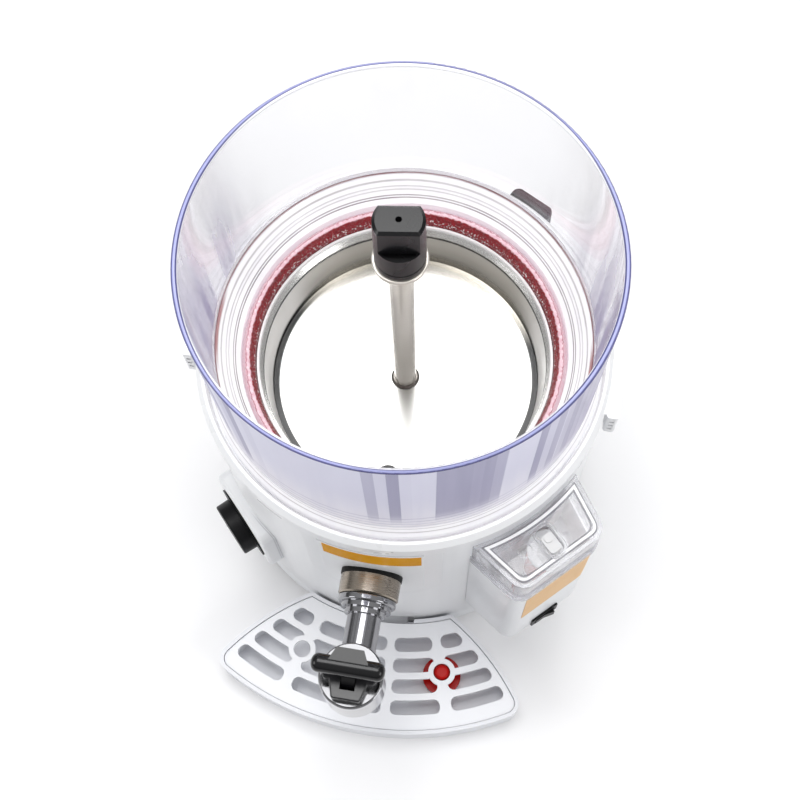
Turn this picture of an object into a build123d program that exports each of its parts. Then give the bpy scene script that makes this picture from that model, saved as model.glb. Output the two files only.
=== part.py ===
"""Countertop hot chocolate dispenser: a clear bowl over a heated steel basin, a tap and a drip tray.

Millimetres. The bowl's axis is the Z axis, the table is Z = 0 and the tap points along -Y.
"""
import os
from math import cos, radians, sin, sqrt

from build123d import *

os.makedirs("parts", exist_ok=True)

# Overall sizes
rim_radius = 120.0
bowl_height = 129.0
shell_top = 205.0

# Clearances
seat_gap = 0.3
running_gap = 0.05
sleeve_gap = 0.02
slide_gap = 0.4

# Bowl
bowl_wall = 3.5
bowl_draft = 2.5
bowl_flange_proud = 2.9
bowl_flange_height = 11.0
shoulder_rise = 25.0
neck_inset = 17.7
neck_wall = 3.8
neck_drop = 6.0

# Top ring, shell and base
bowl_seat_rise = 6.0
basin_seat_drop = 5.0
ring_height = 15.0
ring_rim = 7.0
ring_proud = 1.4
ring_overlap = 14.0
lug_proud = 6.2
lug_width = 40.0
lug_drop = 11.0
lug_rise = 12.0
shell_wall = 3.0
skirt_flare = 1.4
skirt_height = 10.0
panel_width = 64.0
panel_border = 11.0
panel_corner = 14.0
panel_proud = 2.2
panel_border_proud = 1.0
panel_edge_round = 0.8
panel_below_tap = 38.0
base_thickness = 2.0
boss_radius = 6.5
boss_bite = 0.5
screw_radius = 1.5
foot_height = 5.0
foot_radius = 12.0
foot_stem_radius = 3.5
foot_inset = 30.0

# Steel basin, water bath and heater
sheet = 1.2
basin_depth = 31.0
basin_flange_inset = 7.4
basin_lip_inset = 8.3
basin_wall_width = 7.0
bath_depth = 41.0
bath_wall = 1.0
bath_outside_lip = 9.5
heater_radius = 4.0
heater_inset = 41.0
heater_rise = 8.0
heater_arc = 330.0
cutout_radius = 9.0
cutout_x = -45.0

# Centre tube and stirrer drive
tube_radius = 7.0
tube_wall = 1.0
tube_below_rim = 7.0
tube_below_bath = 3.0
tube_flange_radius = 15.2
tube_flange_height = 3.0
shaft_radius = 4.0
bush_length = 15.0
cap_radius = 14.0
cap_height = 40.6
cap_ledge_height = 20.3
cap_flat = 17.0
cap_bevel = 1.6
cap_band_height = 4.0
cap_roof = 9.0
cap_turn = 8.0
coupler_radius = 8.0
coupler_length = 16.0
coupler_gap = 0.5
motor_drop = 24.0
motor_radius = 26.0
motor_height = 42.0
gear_case_radius = 36.0
gear_case_height = 26.0
output_depth = 14.0
bracket_thickness = 2.0
spacer_circle = 50.0
spacer_radius = 4.0

# Tap
tap_drop = 16.0
outlet_inset = 16.5
pipe_radius = 10.5
pipe_wall = 3.0
gasket_thickness = 2.4
gasket_show = 0.5
collar_length = 12.2
collar_step = 8.2
nut_length = 11.0
nut_flange_step = 6.5
nut_neck_step = 2.3
head_reach = 65.8
head_step = 9.0
head_wall = 4.5
head_rise = 22.0
valve_drop = 14.0
spout_length = 21.0
spout_radius = 11.0
spout_wall = 3.0
plug_below_pipe_top = 3.5
deck_rise = 2.0
bonnet_rise = 12.0
bonnet_half = 11.5
bonnet_front_half = 8.5
bonnet_back = 7.0
bonnet_front = 16.0
ear_half = 16.0
ear_depth = 11.0
slot_back = 5.6
slot_front = 10.3
pivot_rise = 6.0
pivot_pin_radius = 2.0
pin_half = 14.5
lever_width = 8.0
lever_side_gap = 0.5
lever_hub_radius = 5.0
lever_guard_radius = 9.4
lever_reach = 24.0
handle_length = 42.5
handle_radius = 5.4
thumb_rest = 9.9
stem_radius = 4.0
stem_below_rim = 7.5
plunger_radius = 13.0
plunger_height = 6.0
plunger_travel = 6.0
seal_radius = 12.0
seal_thickness = 2.0

# Thermostat dial on the left
dial_azimuth = -47.0
dial_height = 88.5
pad_proud = 7.5
pad_width = 58.0
pad_height = 62.0
pad_round = 3.0
dial_plate_radius = 26.0
dial_plate_thickness = 1.0
knob_radius = 19.0
knob_depth = 9.6
spindle_radius = 3.0
spindle_sleeve_wall = 2.0
thermostat_width = 36.0
thermostat_depth = 22.0
thermostat_inset = 6.0

# Water filler box on the right
box_azimuth = 45.0
box_proud = 34.0
box_back_inset = 10.0
box_back_half = 38.5
box_face_half = 30.5
box_corner = 9.0
box_wall = 2.5
box_low = 45.0
box_drop = 35.0
box_foot_round = 5.0
water_depth = 43.0
lid_height = 34.0
lid_wall = 2.2
lid_overhang = 0.6
lid_rib = 0.9
lid_rib_pitch = 3.6
lid_rib_count = 4
bead_inset = 3.2
bead_width = 1.6
bead_rise = 1.2
filler_tube_radius = 6.0
filler_tube_wall = 1.5
filler_tube_rise = 12.0
float_along = 4.5
float_gap = 0.9
level_float_radius = 13.0
level_float_height = 40.0
window_shift = 2.0
window_along = 0.2
window_width = 10.0
window_length = 19.0
window_wall = 1.6
tab_width = 8.0
tab_length = 12.0
tab_shift = 1.5
window_rise = 4.0

# Rocker switch at the foot of the filler box
switch_height = 54.5
switch_frame_width = 1.5
switch_frame_proud = 1.4
switch_sleeve_wall = 1.1
switch_end_wall = 1.3
switch_depth = 12.0
rocker_half = 7.2
rocker_tall = 9.6
rocker_inset = 2.0
rocker_proud = 3.0
rocker_gap = 0.35
rocker_tilt = 8.0
rocker_pin_radius = 1.2

# Drip tray, grille and float
tray_height = 25.0
tray_gap = 0.8
tray_depth = 79.8
tray_back_azimuth = 23.14
tray_corner_azimuth = 32.0
tray_side_bulge = 5.0
tray_corner = 10.0
tray_rim = 2.6
tray_ledge = 3.0
tray_floor = 3.0
grille_thickness = 3.0
grille_margin = 4.0
grille_recess = 1.5
row_inset = 12.8
row_pitch = 14.6
row_width = 10.0
column_edges = [(-40.0, -18.4), (-16.0, -5.5), (-3.5, 3.5), (5.5, 16.0), (18.4, 40.0)]
slot_round = 4.2
float_hole_radius = 6.0
float_hole_ring = 3.5
float_hole_azimuth = 17.46
float_hole_inset = 38.5
tray_float_radius = 13.5
tray_float_disc = 6.0
tray_float_gap = 0.8
tongue_width = 40.0
tongue_thickness = 3.0
tongue_height = 13.0
tongue_reach = 12.0
notch_width = 50.0
tray_slot_width = 48.0
tray_slot_top = 24.0

# Cord inlet, vents and wire holes
inlet_azimuth = 152.0
inlet_width = 31.0
inlet_height = 50.0
inlet_drop = 5.0
inlet_proud = 17.4
inlet_corner = 5.0
inlet_wall = 2.5
inlet_hole_drop = 22.0
wire_hole_radius = 8.0
gland_offset = 8.8
gland_radius = 6.0
gland_bore = 3.6
vent_count = 7
vent_pitch = 11.0
vent_length = 46.0
vent_width = 4.0
vent_height = 110.0

# Radii worked out from the bowl outward and inward
wall_foot_radius = rim_radius - bowl_draft
bowl_inner_foot = wall_foot_radius - bowl_wall
bowl_flange_radius = wall_foot_radius + bowl_flange_proud
neck_radius = wall_foot_radius - neck_inset
ring_radius = bowl_flange_radius + ring_rim
shell_radius = ring_radius - ring_proud
shell_bore = shell_radius - shell_wall
skirt_radius = shell_radius + skirt_flare
lug_reach = ring_radius + lug_proud
screw_circle = shell_bore - boss_radius + boss_bite
foot_circle = shell_radius - foot_inset
basin_flange_radius = bowl_flange_radius - basin_flange_inset
basin_lip_radius = neck_radius - basin_lip_inset
basin_radius = basin_lip_radius - basin_wall_width
bath_radius = basin_lip_radius + bath_outside_lip
heater_circle = bath_radius - heater_inset
tube_bore = tube_radius - tube_wall

# Heights worked out from the shell's top edge
base_top = foot_height + base_thickness
bowl_seat = shell_top + bowl_seat_rise
ring_top = shell_top + ring_height
bowl_shoulder = bowl_seat + shoulder_rise
rim_height = bowl_seat + bowl_height
basin_seat = shell_top - basin_seat_drop
basin_floor = basin_seat - basin_depth
bath_floor = basin_floor - bath_depth
heater_height = bath_floor + heater_rise
bracket_height = bath_floor - motor_drop
tube_top = rim_height - tube_below_rim
tube_low = bath_floor - sheet - tube_below_bath
cap_low = tube_top + tube_flange_height + slide_gap
cap_top = cap_low + cap_height
cap_ledge = cap_low + cap_ledge_height
shaft_top = cap_top - cap_roof
coupler_low = tube_low - coupler_gap - coupler_length
shaft_low = coupler_low + coupler_length / 2

# Tap sizes worked out along its axis and its upright head
pipe_bore = pipe_radius - pipe_wall
collar_radius = pipe_radius + collar_step
gasket_radius = collar_radius + gasket_show
nut_radius = pipe_radius + nut_flange_step
nut_neck_radius = pipe_radius + nut_neck_step
outlet_drop_y = outlet_inset - basin_radius
panel_face = shell_radius + panel_proud
panel_gasket_face = panel_face + gasket_thickness
collar_face = panel_gasket_face + collar_length
nut_face = collar_face + nut_length
tap_height = basin_floor - tap_drop
panel_low = tap_height - panel_below_tap
head_y = -panel_face - head_reach
head_radius = pipe_radius + head_step
head_bore = head_radius - head_wall
head_top = tap_height + head_rise
seat_height = tap_height - valve_drop
spout_low = seat_height - spout_length
spout_bore = spout_radius - spout_wall
plug_low = tap_height + pipe_radius - plug_below_pipe_top
deck_top = head_top + deck_rise
bonnet_top = head_top + bonnet_rise
pivot_height = head_top + pivot_rise
stem_top = head_top - stem_below_rim
lever_slot = lever_width + 2 * lever_side_gap
slot_floor = stem_top + plunger_travel + 0.5

# Dial, filler box, switch and rear sizes worked out from the shell
pad_face = shell_radius + pad_proud
knob_low = pad_face + dial_plate_thickness + slide_gap
knob_face = knob_low + knob_depth
spindle_sleeve_radius = spindle_radius + spindle_sleeve_wall
thermostat_front = shell_bore - thermostat_inset
box_back = shell_radius - box_back_inset
box_face = shell_radius + box_proud
box_top = shell_top - box_drop
water_floor = box_top - water_depth
lid_top = box_top + lid_height
filler_tube_bore = filler_tube_radius - filler_tube_wall
filler_tube_height = water_floor + filler_tube_rise
float_out = box_face - box_wall - float_gap - level_float_radius
window_out = float_out + window_shift
tab_out = window_out + tab_shift
rocker_pivot = box_face - rocker_inset
rocker_rise = rocker_proud + rocker_inset
rocker_swing = rocker_half * cos(radians(rocker_tilt)) + rocker_rise * sin(radians(rocker_tilt))
rocker_pocket_half = rocker_swing + rocker_gap
switch_sleeve_width = 2 * (rocker_pocket_half + switch_sleeve_wall)
switch_sleeve_tall = rocker_tall + 2 * (slide_gap + switch_end_wall)
rocker_pin_half = switch_sleeve_tall / 2 - seat_gap
switch_width = switch_sleeve_width + 2 * switch_frame_width
switch_tall = switch_sleeve_tall + 2 * switch_frame_width
inlet_face = shell_radius + inlet_proud
inlet_top = shell_top - inlet_drop
inlet_low = inlet_top - inlet_height
inlet_hole_height = inlet_top - inlet_hole_drop
gland_out = shell_radius + gland_offset

# Tray sizes worked out from the skirt forward
tray_back = skirt_radius + tray_gap
tray_front = tray_back + tray_depth
corner_x = tray_front * sin(radians(tray_corner_azimuth))
corner_y = -tray_front * cos(radians(tray_corner_azimuth))
back_x = tray_back * sin(radians(tray_back_azimuth))
back_y = -tray_back * cos(radians(tray_back_azimuth))
side_chord = sqrt((corner_x - back_x) ** 2 + (corner_y - back_y) ** 2)
side_radius = side_chord**2 / (8 * tray_side_bulge) + tray_side_bulge / 2
side_reach = (side_radius - tray_side_bulge) / side_chord
side_centre_x = (corner_x + back_x) / 2 - side_reach * (back_y - corner_y)
side_centre_y = (corner_y + back_y) / 2 - side_reach * (corner_x - back_x)
grille_low = tray_height - grille_recess - grille_thickness
slot_margin = tray_rim + slide_gap + grille_margin
first_row = tray_back + row_inset
row_count = int((tray_depth - row_inset - row_width - slot_margin) / row_pitch) + 1
float_hole_out = tray_back + float_hole_inset
float_hole_x = float_hole_out * sin(radians(float_hole_azimuth))
float_hole_y = -float_hole_out * cos(radians(float_hole_azimuth))
tray_float_stem = float_hole_radius - tray_float_gap


def level(height):
    """Horizontal plane at a height above the table."""
    return Plane.XY.offset(height)


def turned(azimuth, height):
    """Horizontal plane whose -Y points outward at an azimuth counted from the front towards the right."""
    return Plane.XY.offset(height).rotated((0, 0, azimuth))


def outward(azimuth, distance, height):
    """Upright plane that faces outward at an azimuth, with local X to the right and local Y up."""
    angle = radians(azimuth)
    facing = Vector(sin(angle), -cos(angle), 0)
    along = Vector(cos(angle), sin(angle), 0)
    return Plane(origin=facing * distance + Vector(0, 0, height), x_dir=along, z_dir=facing)


def section(*points):
    """Closed outline of (radius, height) points, to be revolved about the Z axis."""
    with BuildSketch(Plane.XZ) as outline:
        with BuildLine():
            Polyline(*points, close=True)
        make_face()
    return outline.sketch


def save(piece, name):
    """Label a finished piece and write it out."""
    piece.part.label = name
    export_step(piece.part, f"parts/{name}.step")


def round_bar(plane, radius, length, bore=0.0):
    """Cylinder along a plane's normal, hollow where a bore is given."""
    with BuildPart() as bar:
        with BuildSketch(plane):
            Circle(radius)
            if bore:
                Circle(bore, mode=Mode.SUBTRACT)
        extrude(amount=length)
    return bar


def radial_trim(plane, radius, height):
    """Upright cylinder about the bowl's axis, for trimming a piece to the drum."""
    with BuildSketch(plane) as disc:
        Circle(radius)
    return extrude(disc.sketch, amount=height, mode=Mode.PRIVATE)


# Clear bowl, open at the foot where it closes over the basin gasket
flange_top = bowl_seat + bowl_flange_height
neck_low = bowl_seat - neck_drop
neck_outer = neck_radius + neck_wall
with BuildPart() as bowl:
    bowl_outline = section(
        (rim_radius, rim_height),
        (wall_foot_radius, flange_top + 6),
        (bowl_flange_radius, flange_top),
        (bowl_flange_radius, bowl_seat),
        (wall_foot_radius - 1, bowl_seat),
        (bowl_inner_foot + 0.6, flange_top + 5),
        (neck_outer + 0.4, bowl_seat + 4.5),
        (neck_outer, neck_low),
        (neck_radius, neck_low),
        (neck_radius, bowl_seat + 5.5),
        (neck_radius + 2.4, bowl_seat + 8.2),
        (bowl_inner_foot - 0.8, bowl_shoulder - 3.5),
        (bowl_inner_foot, bowl_shoulder),
        (rim_radius - bowl_wall, rim_height),
    )
    revolve(bowl_outline, axis=Axis.Z)
    fillet(bowl.edges().sort_by(Axis.Z)[-2:], radius=bowl_wall * 0.4)
save(bowl, "bowl")

# Silicone gasket between the basin's flange and the bowl's neck
gasket_foot = basin_seat + sheet
gasket_inner = basin_lip_radius + seat_gap
gasket_outer = neck_radius - slide_gap
with BuildPart() as bowl_gasket:
    gasket_outline = section(
        (gasket_inner, gasket_foot),
        (gasket_outer, gasket_foot),
        (gasket_outer, gasket_foot + 10),
        (gasket_outer - 2, gasket_foot + 13),
        (gasket_inner + 2.6, gasket_foot + 13),
        (gasket_inner + 0.4, gasket_foot + 7),
    )
    revolve(gasket_outline, axis=Axis.Z)
    fillet(bowl_gasket.edges().sort_by(Axis.Z)[-2:], radius=0.8)
save(bowl_gasket, "bowl_gasket")

# White top ring that seats the bowl and the basin, with a grip lug on each side
ring_bore = bath_radius + 3.5
spigot_outer = shell_bore - seat_gap
spigot_inner = spigot_outer - shell_wall
with BuildPart() as body_ring:
    ring_outline = section(
        (ring_radius, shell_top),
        (ring_radius, ring_top - 4),
        (ring_radius - 3, ring_top),
        (bowl_flange_radius + 2.2, ring_top),
        (bowl_flange_radius + 0.9, ring_top - 2.5),
        (bowl_flange_radius + 0.9, bowl_seat),
        (basin_flange_radius + slide_gap, bowl_seat),
        (basin_flange_radius + slide_gap, basin_seat),
        (ring_bore, basin_seat),
        (ring_bore, basin_seat - 4),
        (spigot_inner, basin_seat - 4),
        (spigot_inner, shell_top - ring_overlap),
        (spigot_outer, shell_top - ring_overlap),
        (spigot_outer, shell_top),
    )
    revolve(ring_outline, axis=Axis.Z)
    lug_depth = lug_reach - shell_radius - slide_gap
    lug_low = shell_top - lug_drop
    lug_top = shell_top + lug_rise
    for side in (-1, 1):
        with BuildSketch(level(lug_low)):
            with Locations((side * (lug_reach - lug_depth / 2), -6)):
                RectangleRounded(lug_depth, lug_width, 2)
        extrude(amount=lug_top - lug_low)
        with BuildSketch(level(shell_top)):
            with Locations((side * (lug_reach - lug_depth / 2 - 2), -6)):
                Rectangle(lug_depth, lug_width - 4)
        extrude(amount=lug_top - shell_top)
        lug_front = Vector(side * (lug_reach - lug_depth / 2), -6 - lug_width / 2, shell_top)
        with BuildSketch(Plane(lug_front, x_dir=(1, 0, 0), z_dir=(0, -1, 0))):
            with GridLocations(0, 5.5, 1, 3):
                Rectangle(2.8, 2.4)
        extrude(amount=-2.5, mode=Mode.SUBTRACT)
save(body_ring, "body_ring")

# Raised pad under the dial, joined to the shell
pad_plane = outward(dial_azimuth, pad_face, dial_height)
with BuildPart() as dial_pad:
    with BuildSketch(pad_plane):
        RectangleRounded(pad_width, pad_height, 2 * pad_round)
    extrude(amount=shell_bore - pad_face - 8)
    pad_front = dial_pad.faces().sort_by(Axis(pad_plane.origin, pad_plane.z_dir))[-1]
    fillet(pad_front.edges(), radius=pad_round)


def curved_panel(width, low, corner, face, edge):
    """Raised panel on the front of the drum, following its curve, with a rounded edge."""
    tall = shell_top - low + 2 * corner
    with BuildPart() as panel:
        with BuildSketch(outward(0, shell_bore - 20, low + tall / 2)):
            RectangleRounded(width, tall, corner)
        extrude(amount=40)
        add(radial_trim(level(low - 1), face, tall + 2), mode=Mode.INTERSECT)
        fillet(panel.faces().sort_by(Axis.Y)[0].edges(), radius=edge)
    return panel.part


panel_pad = curved_panel(panel_width, panel_low, panel_corner, panel_face, panel_edge_round)
panel_border_pad = curved_panel(
    panel_width + 2 * panel_border,
    panel_low - panel_border,
    panel_corner + panel_border,
    shell_radius + panel_border_proud,
    panel_edge_round,
)

# White outer shell: drum, front panel and dial pad, with its holes, vents and screw bosses
pilot_radius = screw_radius + 0.1
with BuildPart() as body_shell:
    drum_outline = section(
        (0, foot_height),
        (skirt_radius, foot_height),
        (skirt_radius, foot_height + 4),
        (shell_radius, foot_height + skirt_height),
        (shell_radius, shell_top),
        (0, shell_top),
    )
    revolve(drum_outline, axis=Axis.Z)
    add(panel_border_pad)
    add(panel_pad)
    add(dial_pad.part)
    with BuildSketch(level(shell_top)):
        Circle(ring_radius + 20)
    extrude(amount=60, mode=Mode.SUBTRACT)
    with BuildSketch(level(foot_height)):
        Circle(shell_bore)
    extrude(amount=shell_top - foot_height, mode=Mode.SUBTRACT)
    with BuildSketch(outward(0, shell_bore - 20, tap_height)):
        Circle(pipe_radius + 1.5)
    extrude(amount=40, mode=Mode.SUBTRACT)
    with BuildSketch(outward(dial_azimuth, shell_bore - 10, dial_height)):
        Circle(spindle_sleeve_radius + seat_gap)
    extrude(amount=40, mode=Mode.SUBTRACT)
    with BuildSketch(outward(box_azimuth, shell_bore - 10, filler_tube_height)):
        Circle(filler_tube_radius + 1)
    extrude(amount=30, mode=Mode.SUBTRACT)
    with BuildSketch(outward(box_azimuth, shell_bore - 10, switch_height + 18)):
        Circle(wire_hole_radius)
    extrude(amount=30, mode=Mode.SUBTRACT)
    tray_slot_low = tongue_height - slide_gap
    with BuildSketch(outward(0, shell_bore - 10, (tray_slot_low + tray_slot_top) / 2)):
        Rectangle(tray_slot_width, tray_slot_top - tray_slot_low)
    extrude(amount=30, mode=Mode.SUBTRACT)
    with BuildSketch(outward(inlet_azimuth, shell_bore - 10, inlet_hole_height)):
        Circle(wire_hole_radius)
    extrude(amount=30, mode=Mode.SUBTRACT)
    with BuildSketch(outward(180, shell_bore - 20, vent_height)):
        with GridLocations(vent_pitch, 0, vent_count, 1):
            SlotOverall(vent_length, vent_width, rotation=90)
    extrude(amount=40, mode=Mode.SUBTRACT)
    with BuildSketch(level(base_top)):
        with PolarLocations(screw_circle, 4, start_angle=45):
            Circle(boss_radius)
    extrude(amount=38)
    with BuildSketch(level(base_top)):
        with PolarLocations(screw_circle, 4, start_angle=45):
            Circle(pilot_radius)
    extrude(amount=24, mode=Mode.SUBTRACT)
save(body_shell, "body_shell")

# Steel base plate with its feet and screws
with BuildPart() as base_plate:
    with BuildSketch(level(foot_height)):
        Circle(shell_bore - seat_gap)
        with PolarLocations(screw_circle, 4, start_angle=45):
            Circle(screw_radius + 0.3, mode=Mode.SUBTRACT)
        with PolarLocations(foot_circle, 4, start_angle=0):
            Circle(foot_stem_radius + sleeve_gap, mode=Mode.SUBTRACT)
    extrude(amount=base_thickness)
save(base_plate, "base_plate")

with BuildPart() as rubber_feet:
    with BuildSketch(level(0)):
        with PolarLocations(foot_circle, 4, start_angle=0):
            Circle(foot_radius)
    extrude(amount=foot_height)
    with BuildSketch(level(foot_height)):
        with PolarLocations(foot_circle, 4, start_angle=0):
            Circle(foot_stem_radius)
    extrude(amount=base_thickness + 3)
    chamfer(rubber_feet.edges().group_by(Axis.Z)[0], length=1)
save(rubber_feet, "rubber_feet")

with BuildPart() as base_screws:
    with BuildSketch(level(foot_height - 2.4)):
        with PolarLocations(screw_circle, 4, start_angle=45):
            Circle(3.5)
    extrude(amount=2.4)
    with BuildSketch(level(foot_height)):
        with PolarLocations(screw_circle, 4, start_angle=45):
            Circle(screw_radius)
    extrude(amount=base_thickness + 18)
    with BuildSketch(level(foot_height - 2.4)):
        with PolarLocations(screw_circle, 4, start_angle=45):
            Rectangle(4.6, 0.9)
            Rectangle(0.9, 4.6)
    extrude(amount=1.2, mode=Mode.SUBTRACT)
save(base_screws, "base_screws")

# Steel basin that holds the chocolate, with its drain hole in the floor
with BuildPart() as steel_basin:
    basin_outline = section(
        (tube_radius + sleeve_gap, basin_floor - sheet),
        (basin_radius + 0.4, basin_floor - sheet),
        (basin_radius + 4.4, basin_seat - 5.5),
        (basin_radius + 5, basin_seat),
        (basin_flange_radius, basin_seat),
        (basin_flange_radius, basin_seat + sheet),
        (basin_lip_radius, basin_seat + sheet),
        (basin_lip_radius, basin_seat + 4),
        (basin_lip_radius - 1.4, basin_seat + 4),
        (basin_radius + 3.5, basin_seat - 5),
        (basin_radius, basin_floor),
        (tube_radius + sleeve_gap, basin_floor),
    )
    revolve(basin_outline, axis=Axis.Z)
    with BuildSketch(level(basin_floor - sheet)):
        with Locations((0, outlet_drop_y)):
            Circle(pipe_bore)
    extrude(amount=sheet, mode=Mode.SUBTRACT)
save(steel_basin, "steel_basin")

# Water bath under the basin
with BuildPart() as water_bath:
    bath_outline = section(
        (tube_radius + sleeve_gap, bath_floor - sheet),
        (bath_radius, bath_floor - sheet),
        (bath_radius, basin_seat),
        (bath_radius - bath_wall, basin_seat),
        (bath_radius - bath_wall, bath_floor),
        (tube_radius + sleeve_gap, bath_floor),
    )
    revolve(bath_outline, axis=Axis.Z)
    with BuildSketch(outward(0, bath_radius - 8, tap_height)):
        Circle(pipe_radius + sleeve_gap)
    extrude(amount=16, mode=Mode.SUBTRACT)
    with BuildSketch(outward(box_azimuth, bath_radius - 8, filler_tube_height)):
        Circle(filler_tube_radius + sleeve_gap)
    extrude(amount=16, mode=Mode.SUBTRACT)
    with BuildSketch(level(bath_floor - sheet)):
        for terminal_angle in (0, heater_arc):
            with PolarLocations(heater_circle, 1, start_angle=terminal_angle):
                Circle(heater_radius + sleeve_gap)
    extrude(amount=sheet, mode=Mode.SUBTRACT)
save(water_bath, "water_bath")

# Heating element: a ring in the water with two upright ends through the bath's floor
with BuildPart() as heater_ring:
    with BuildSketch(Plane.XZ):
        with Locations((heater_circle, heater_height)):
            Circle(heater_radius)
    revolve(axis=Axis.Z, revolution_arc=heater_arc)
    with BuildSketch(level(bath_floor - 14)):
        for terminal_angle in (0, heater_arc):
            with PolarLocations(heater_circle, 1, start_angle=terminal_angle):
                Circle(heater_radius)
    extrude(amount=heater_height - bath_floor + 14)
save(heater_ring, "heater_ring")

thermal_cutout = round_bar(Plane((cutout_x, 0, bath_floor - sheet - 9)), cutout_radius, 9)
save(thermal_cutout, "thermal_cutout")

# Tube from the basin's drain hole to the tap
outlet_end = panel_face - 2.4
outlet_back = -outlet_drop_y - pipe_radius - 2
with BuildPart() as outlet_tube:
    with BuildSketch(outward(0, outlet_back, tap_height)):
        Circle(pipe_radius)
    extrude(amount=outlet_end - outlet_back)
    with BuildSketch(level(tap_height)):
        with Locations((0, outlet_drop_y)):
            Circle(pipe_radius)
    extrude(amount=basin_floor - sheet - tap_height)
    with BuildSketch(outward(0, outlet_back + 2.5, tap_height)):
        Circle(pipe_bore)
    extrude(amount=outlet_end - outlet_back, mode=Mode.SUBTRACT)
    with BuildSketch(level(tap_height)):
        with Locations((0, outlet_drop_y)):
            Circle(pipe_bore)
    extrude(amount=basin_floor - tap_height, mode=Mode.SUBTRACT)
save(outlet_tube, "outlet_tube")

# Centre tube that carries the drive shaft up through the bowl
centre_tube = round_bar(level(tube_low), tube_radius, tube_top - tube_low, tube_bore)
save(centre_tube, "centre_tube")

with BuildPart() as tube_collar:
    collar_outline = section(
        (tube_radius + sleeve_gap, basin_floor),
        (tube_radius + 2, basin_floor),
        (tube_radius + 1.6, basin_floor + 1.2),
        (tube_radius + 0.6, basin_floor + 2.2),
        (tube_radius + sleeve_gap, basin_floor + 2.2),
    )
    revolve(collar_outline, axis=Axis.Z)
save(tube_collar, "tube_collar")

with BuildPart() as tube_flange:
    with BuildSketch(level(tube_top)):
        Circle(tube_flange_radius)
        Circle(shaft_radius + slide_gap, mode=Mode.SUBTRACT)
    extrude(amount=tube_flange_height)
    fillet(tube_flange.edges().filter_by(GeomType.CIRCLE).group_by(SortBy.RADIUS)[-1], radius=0.8)
save(tube_flange, "tube_flange")

for bush_name, bush_low in (("upper_bush", tube_top - bush_length), ("lower_bush", tube_low)):
    bush = round_bar(level(bush_low), tube_bore - sleeve_gap, bush_length, shaft_radius + running_gap)
    save(bush, bush_name)

# Drive shaft, coupling cap and motor coupler
drive_shaft = round_bar(level(shaft_low + seat_gap), shaft_radius, shaft_top - shaft_low - seat_gap)
save(drive_shaft, "drive_shaft")

with BuildPart() as drive_cap:
    with BuildSketch(turned(cap_turn, cap_low)):
        Circle(cap_radius)
    extrude(amount=cap_top - cap_low, taper=0.6)
    with BuildSketch(turned(cap_turn, cap_ledge)):
        Circle(cap_radius + 5)
        Rectangle(4 * cap_radius, cap_flat, mode=Mode.SUBTRACT)
    extrude(amount=cap_top - cap_ledge, mode=Mode.SUBTRACT)
    chamfer(drive_cap.faces().sort_by(Axis.Z)[-1].edges(), length=cap_bevel)
    fillet(drive_cap.edges().group_by(Axis.Z)[0], radius=0.8)
    for flat_side in (-1, 1):
        with BuildSketch(turned(cap_turn, cap_ledge - 2.5)):
            with Locations((0, flat_side * (cap_flat / 2 + 0.2))):
                Ellipse(cap_radius * 0.66, 2.6)
        extrude(amount=2.5, mode=Mode.SUBTRACT)
    with BuildSketch(level(cap_low + cap_band_height)):
        Circle(cap_radius + 2)
        Circle(cap_radius - 0.7, mode=Mode.SUBTRACT)
    extrude(amount=0.9, mode=Mode.SUBTRACT)
    with BuildSketch(level(cap_low)):
        Circle(shaft_radius + sleeve_gap)
    extrude(amount=shaft_top + seat_gap - cap_low, mode=Mode.SUBTRACT)
    with BuildSketch(level(cap_top)):
        Circle(1.7)
    extrude(amount=-4, taper=12, mode=Mode.SUBTRACT)
save(drive_cap, "drive_cap")

motor_coupler = round_bar(level(coupler_low), coupler_radius, coupler_length, shaft_radius + sleeve_gap)
save(motor_coupler, "motor_coupler")

output_length = shaft_low - seat_gap - bracket_height + output_depth
motor_output = round_bar(level(bracket_height - output_depth), shaft_radius, output_length)
save(motor_output, "motor_output")

# Gear motor hung on a bracket below the bath
with BuildPart() as motor_bracket:
    with BuildSketch(level(bracket_height)):
        Circle(spacer_circle + 9)
        Circle(coupler_radius + 2, mode=Mode.SUBTRACT)
        with PolarLocations(spacer_circle - 22, 3, start_angle=30):
            Circle(7, mode=Mode.SUBTRACT)
    extrude(amount=bracket_thickness)
save(motor_bracket, "motor_bracket")

spacer_length = bath_floor - sheet - bracket_height - bracket_thickness
with BuildPart() as bracket_spacers:
    with BuildSketch(level(bracket_height + bracket_thickness)):
        with PolarLocations(spacer_circle, 3, start_angle=90):
            Circle(spacer_radius)
    extrude(amount=spacer_length)
save(bracket_spacers, "bracket_spacers")

with BuildPart() as gear_case:
    with BuildSketch(level(bracket_height - gear_case_height)):
        Circle(gear_case_radius)
    extrude(amount=gear_case_height)
    with BuildSketch(level(bracket_height)):
        Circle(shaft_radius + running_gap)
    extrude(amount=-output_depth - seat_gap, mode=Mode.SUBTRACT)
    chamfer(gear_case.edges().group_by(Axis.Z)[0], length=2)
save(gear_case, "gear_case")

with BuildPart() as motor_can:
    with BuildSketch(level(bracket_height - gear_case_height - motor_height)):
        Circle(motor_radius)
    extrude(amount=motor_height)
    fillet(motor_can.edges().group_by(Axis.Z)[0], radius=4)
save(motor_can, "motor_can")

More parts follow.
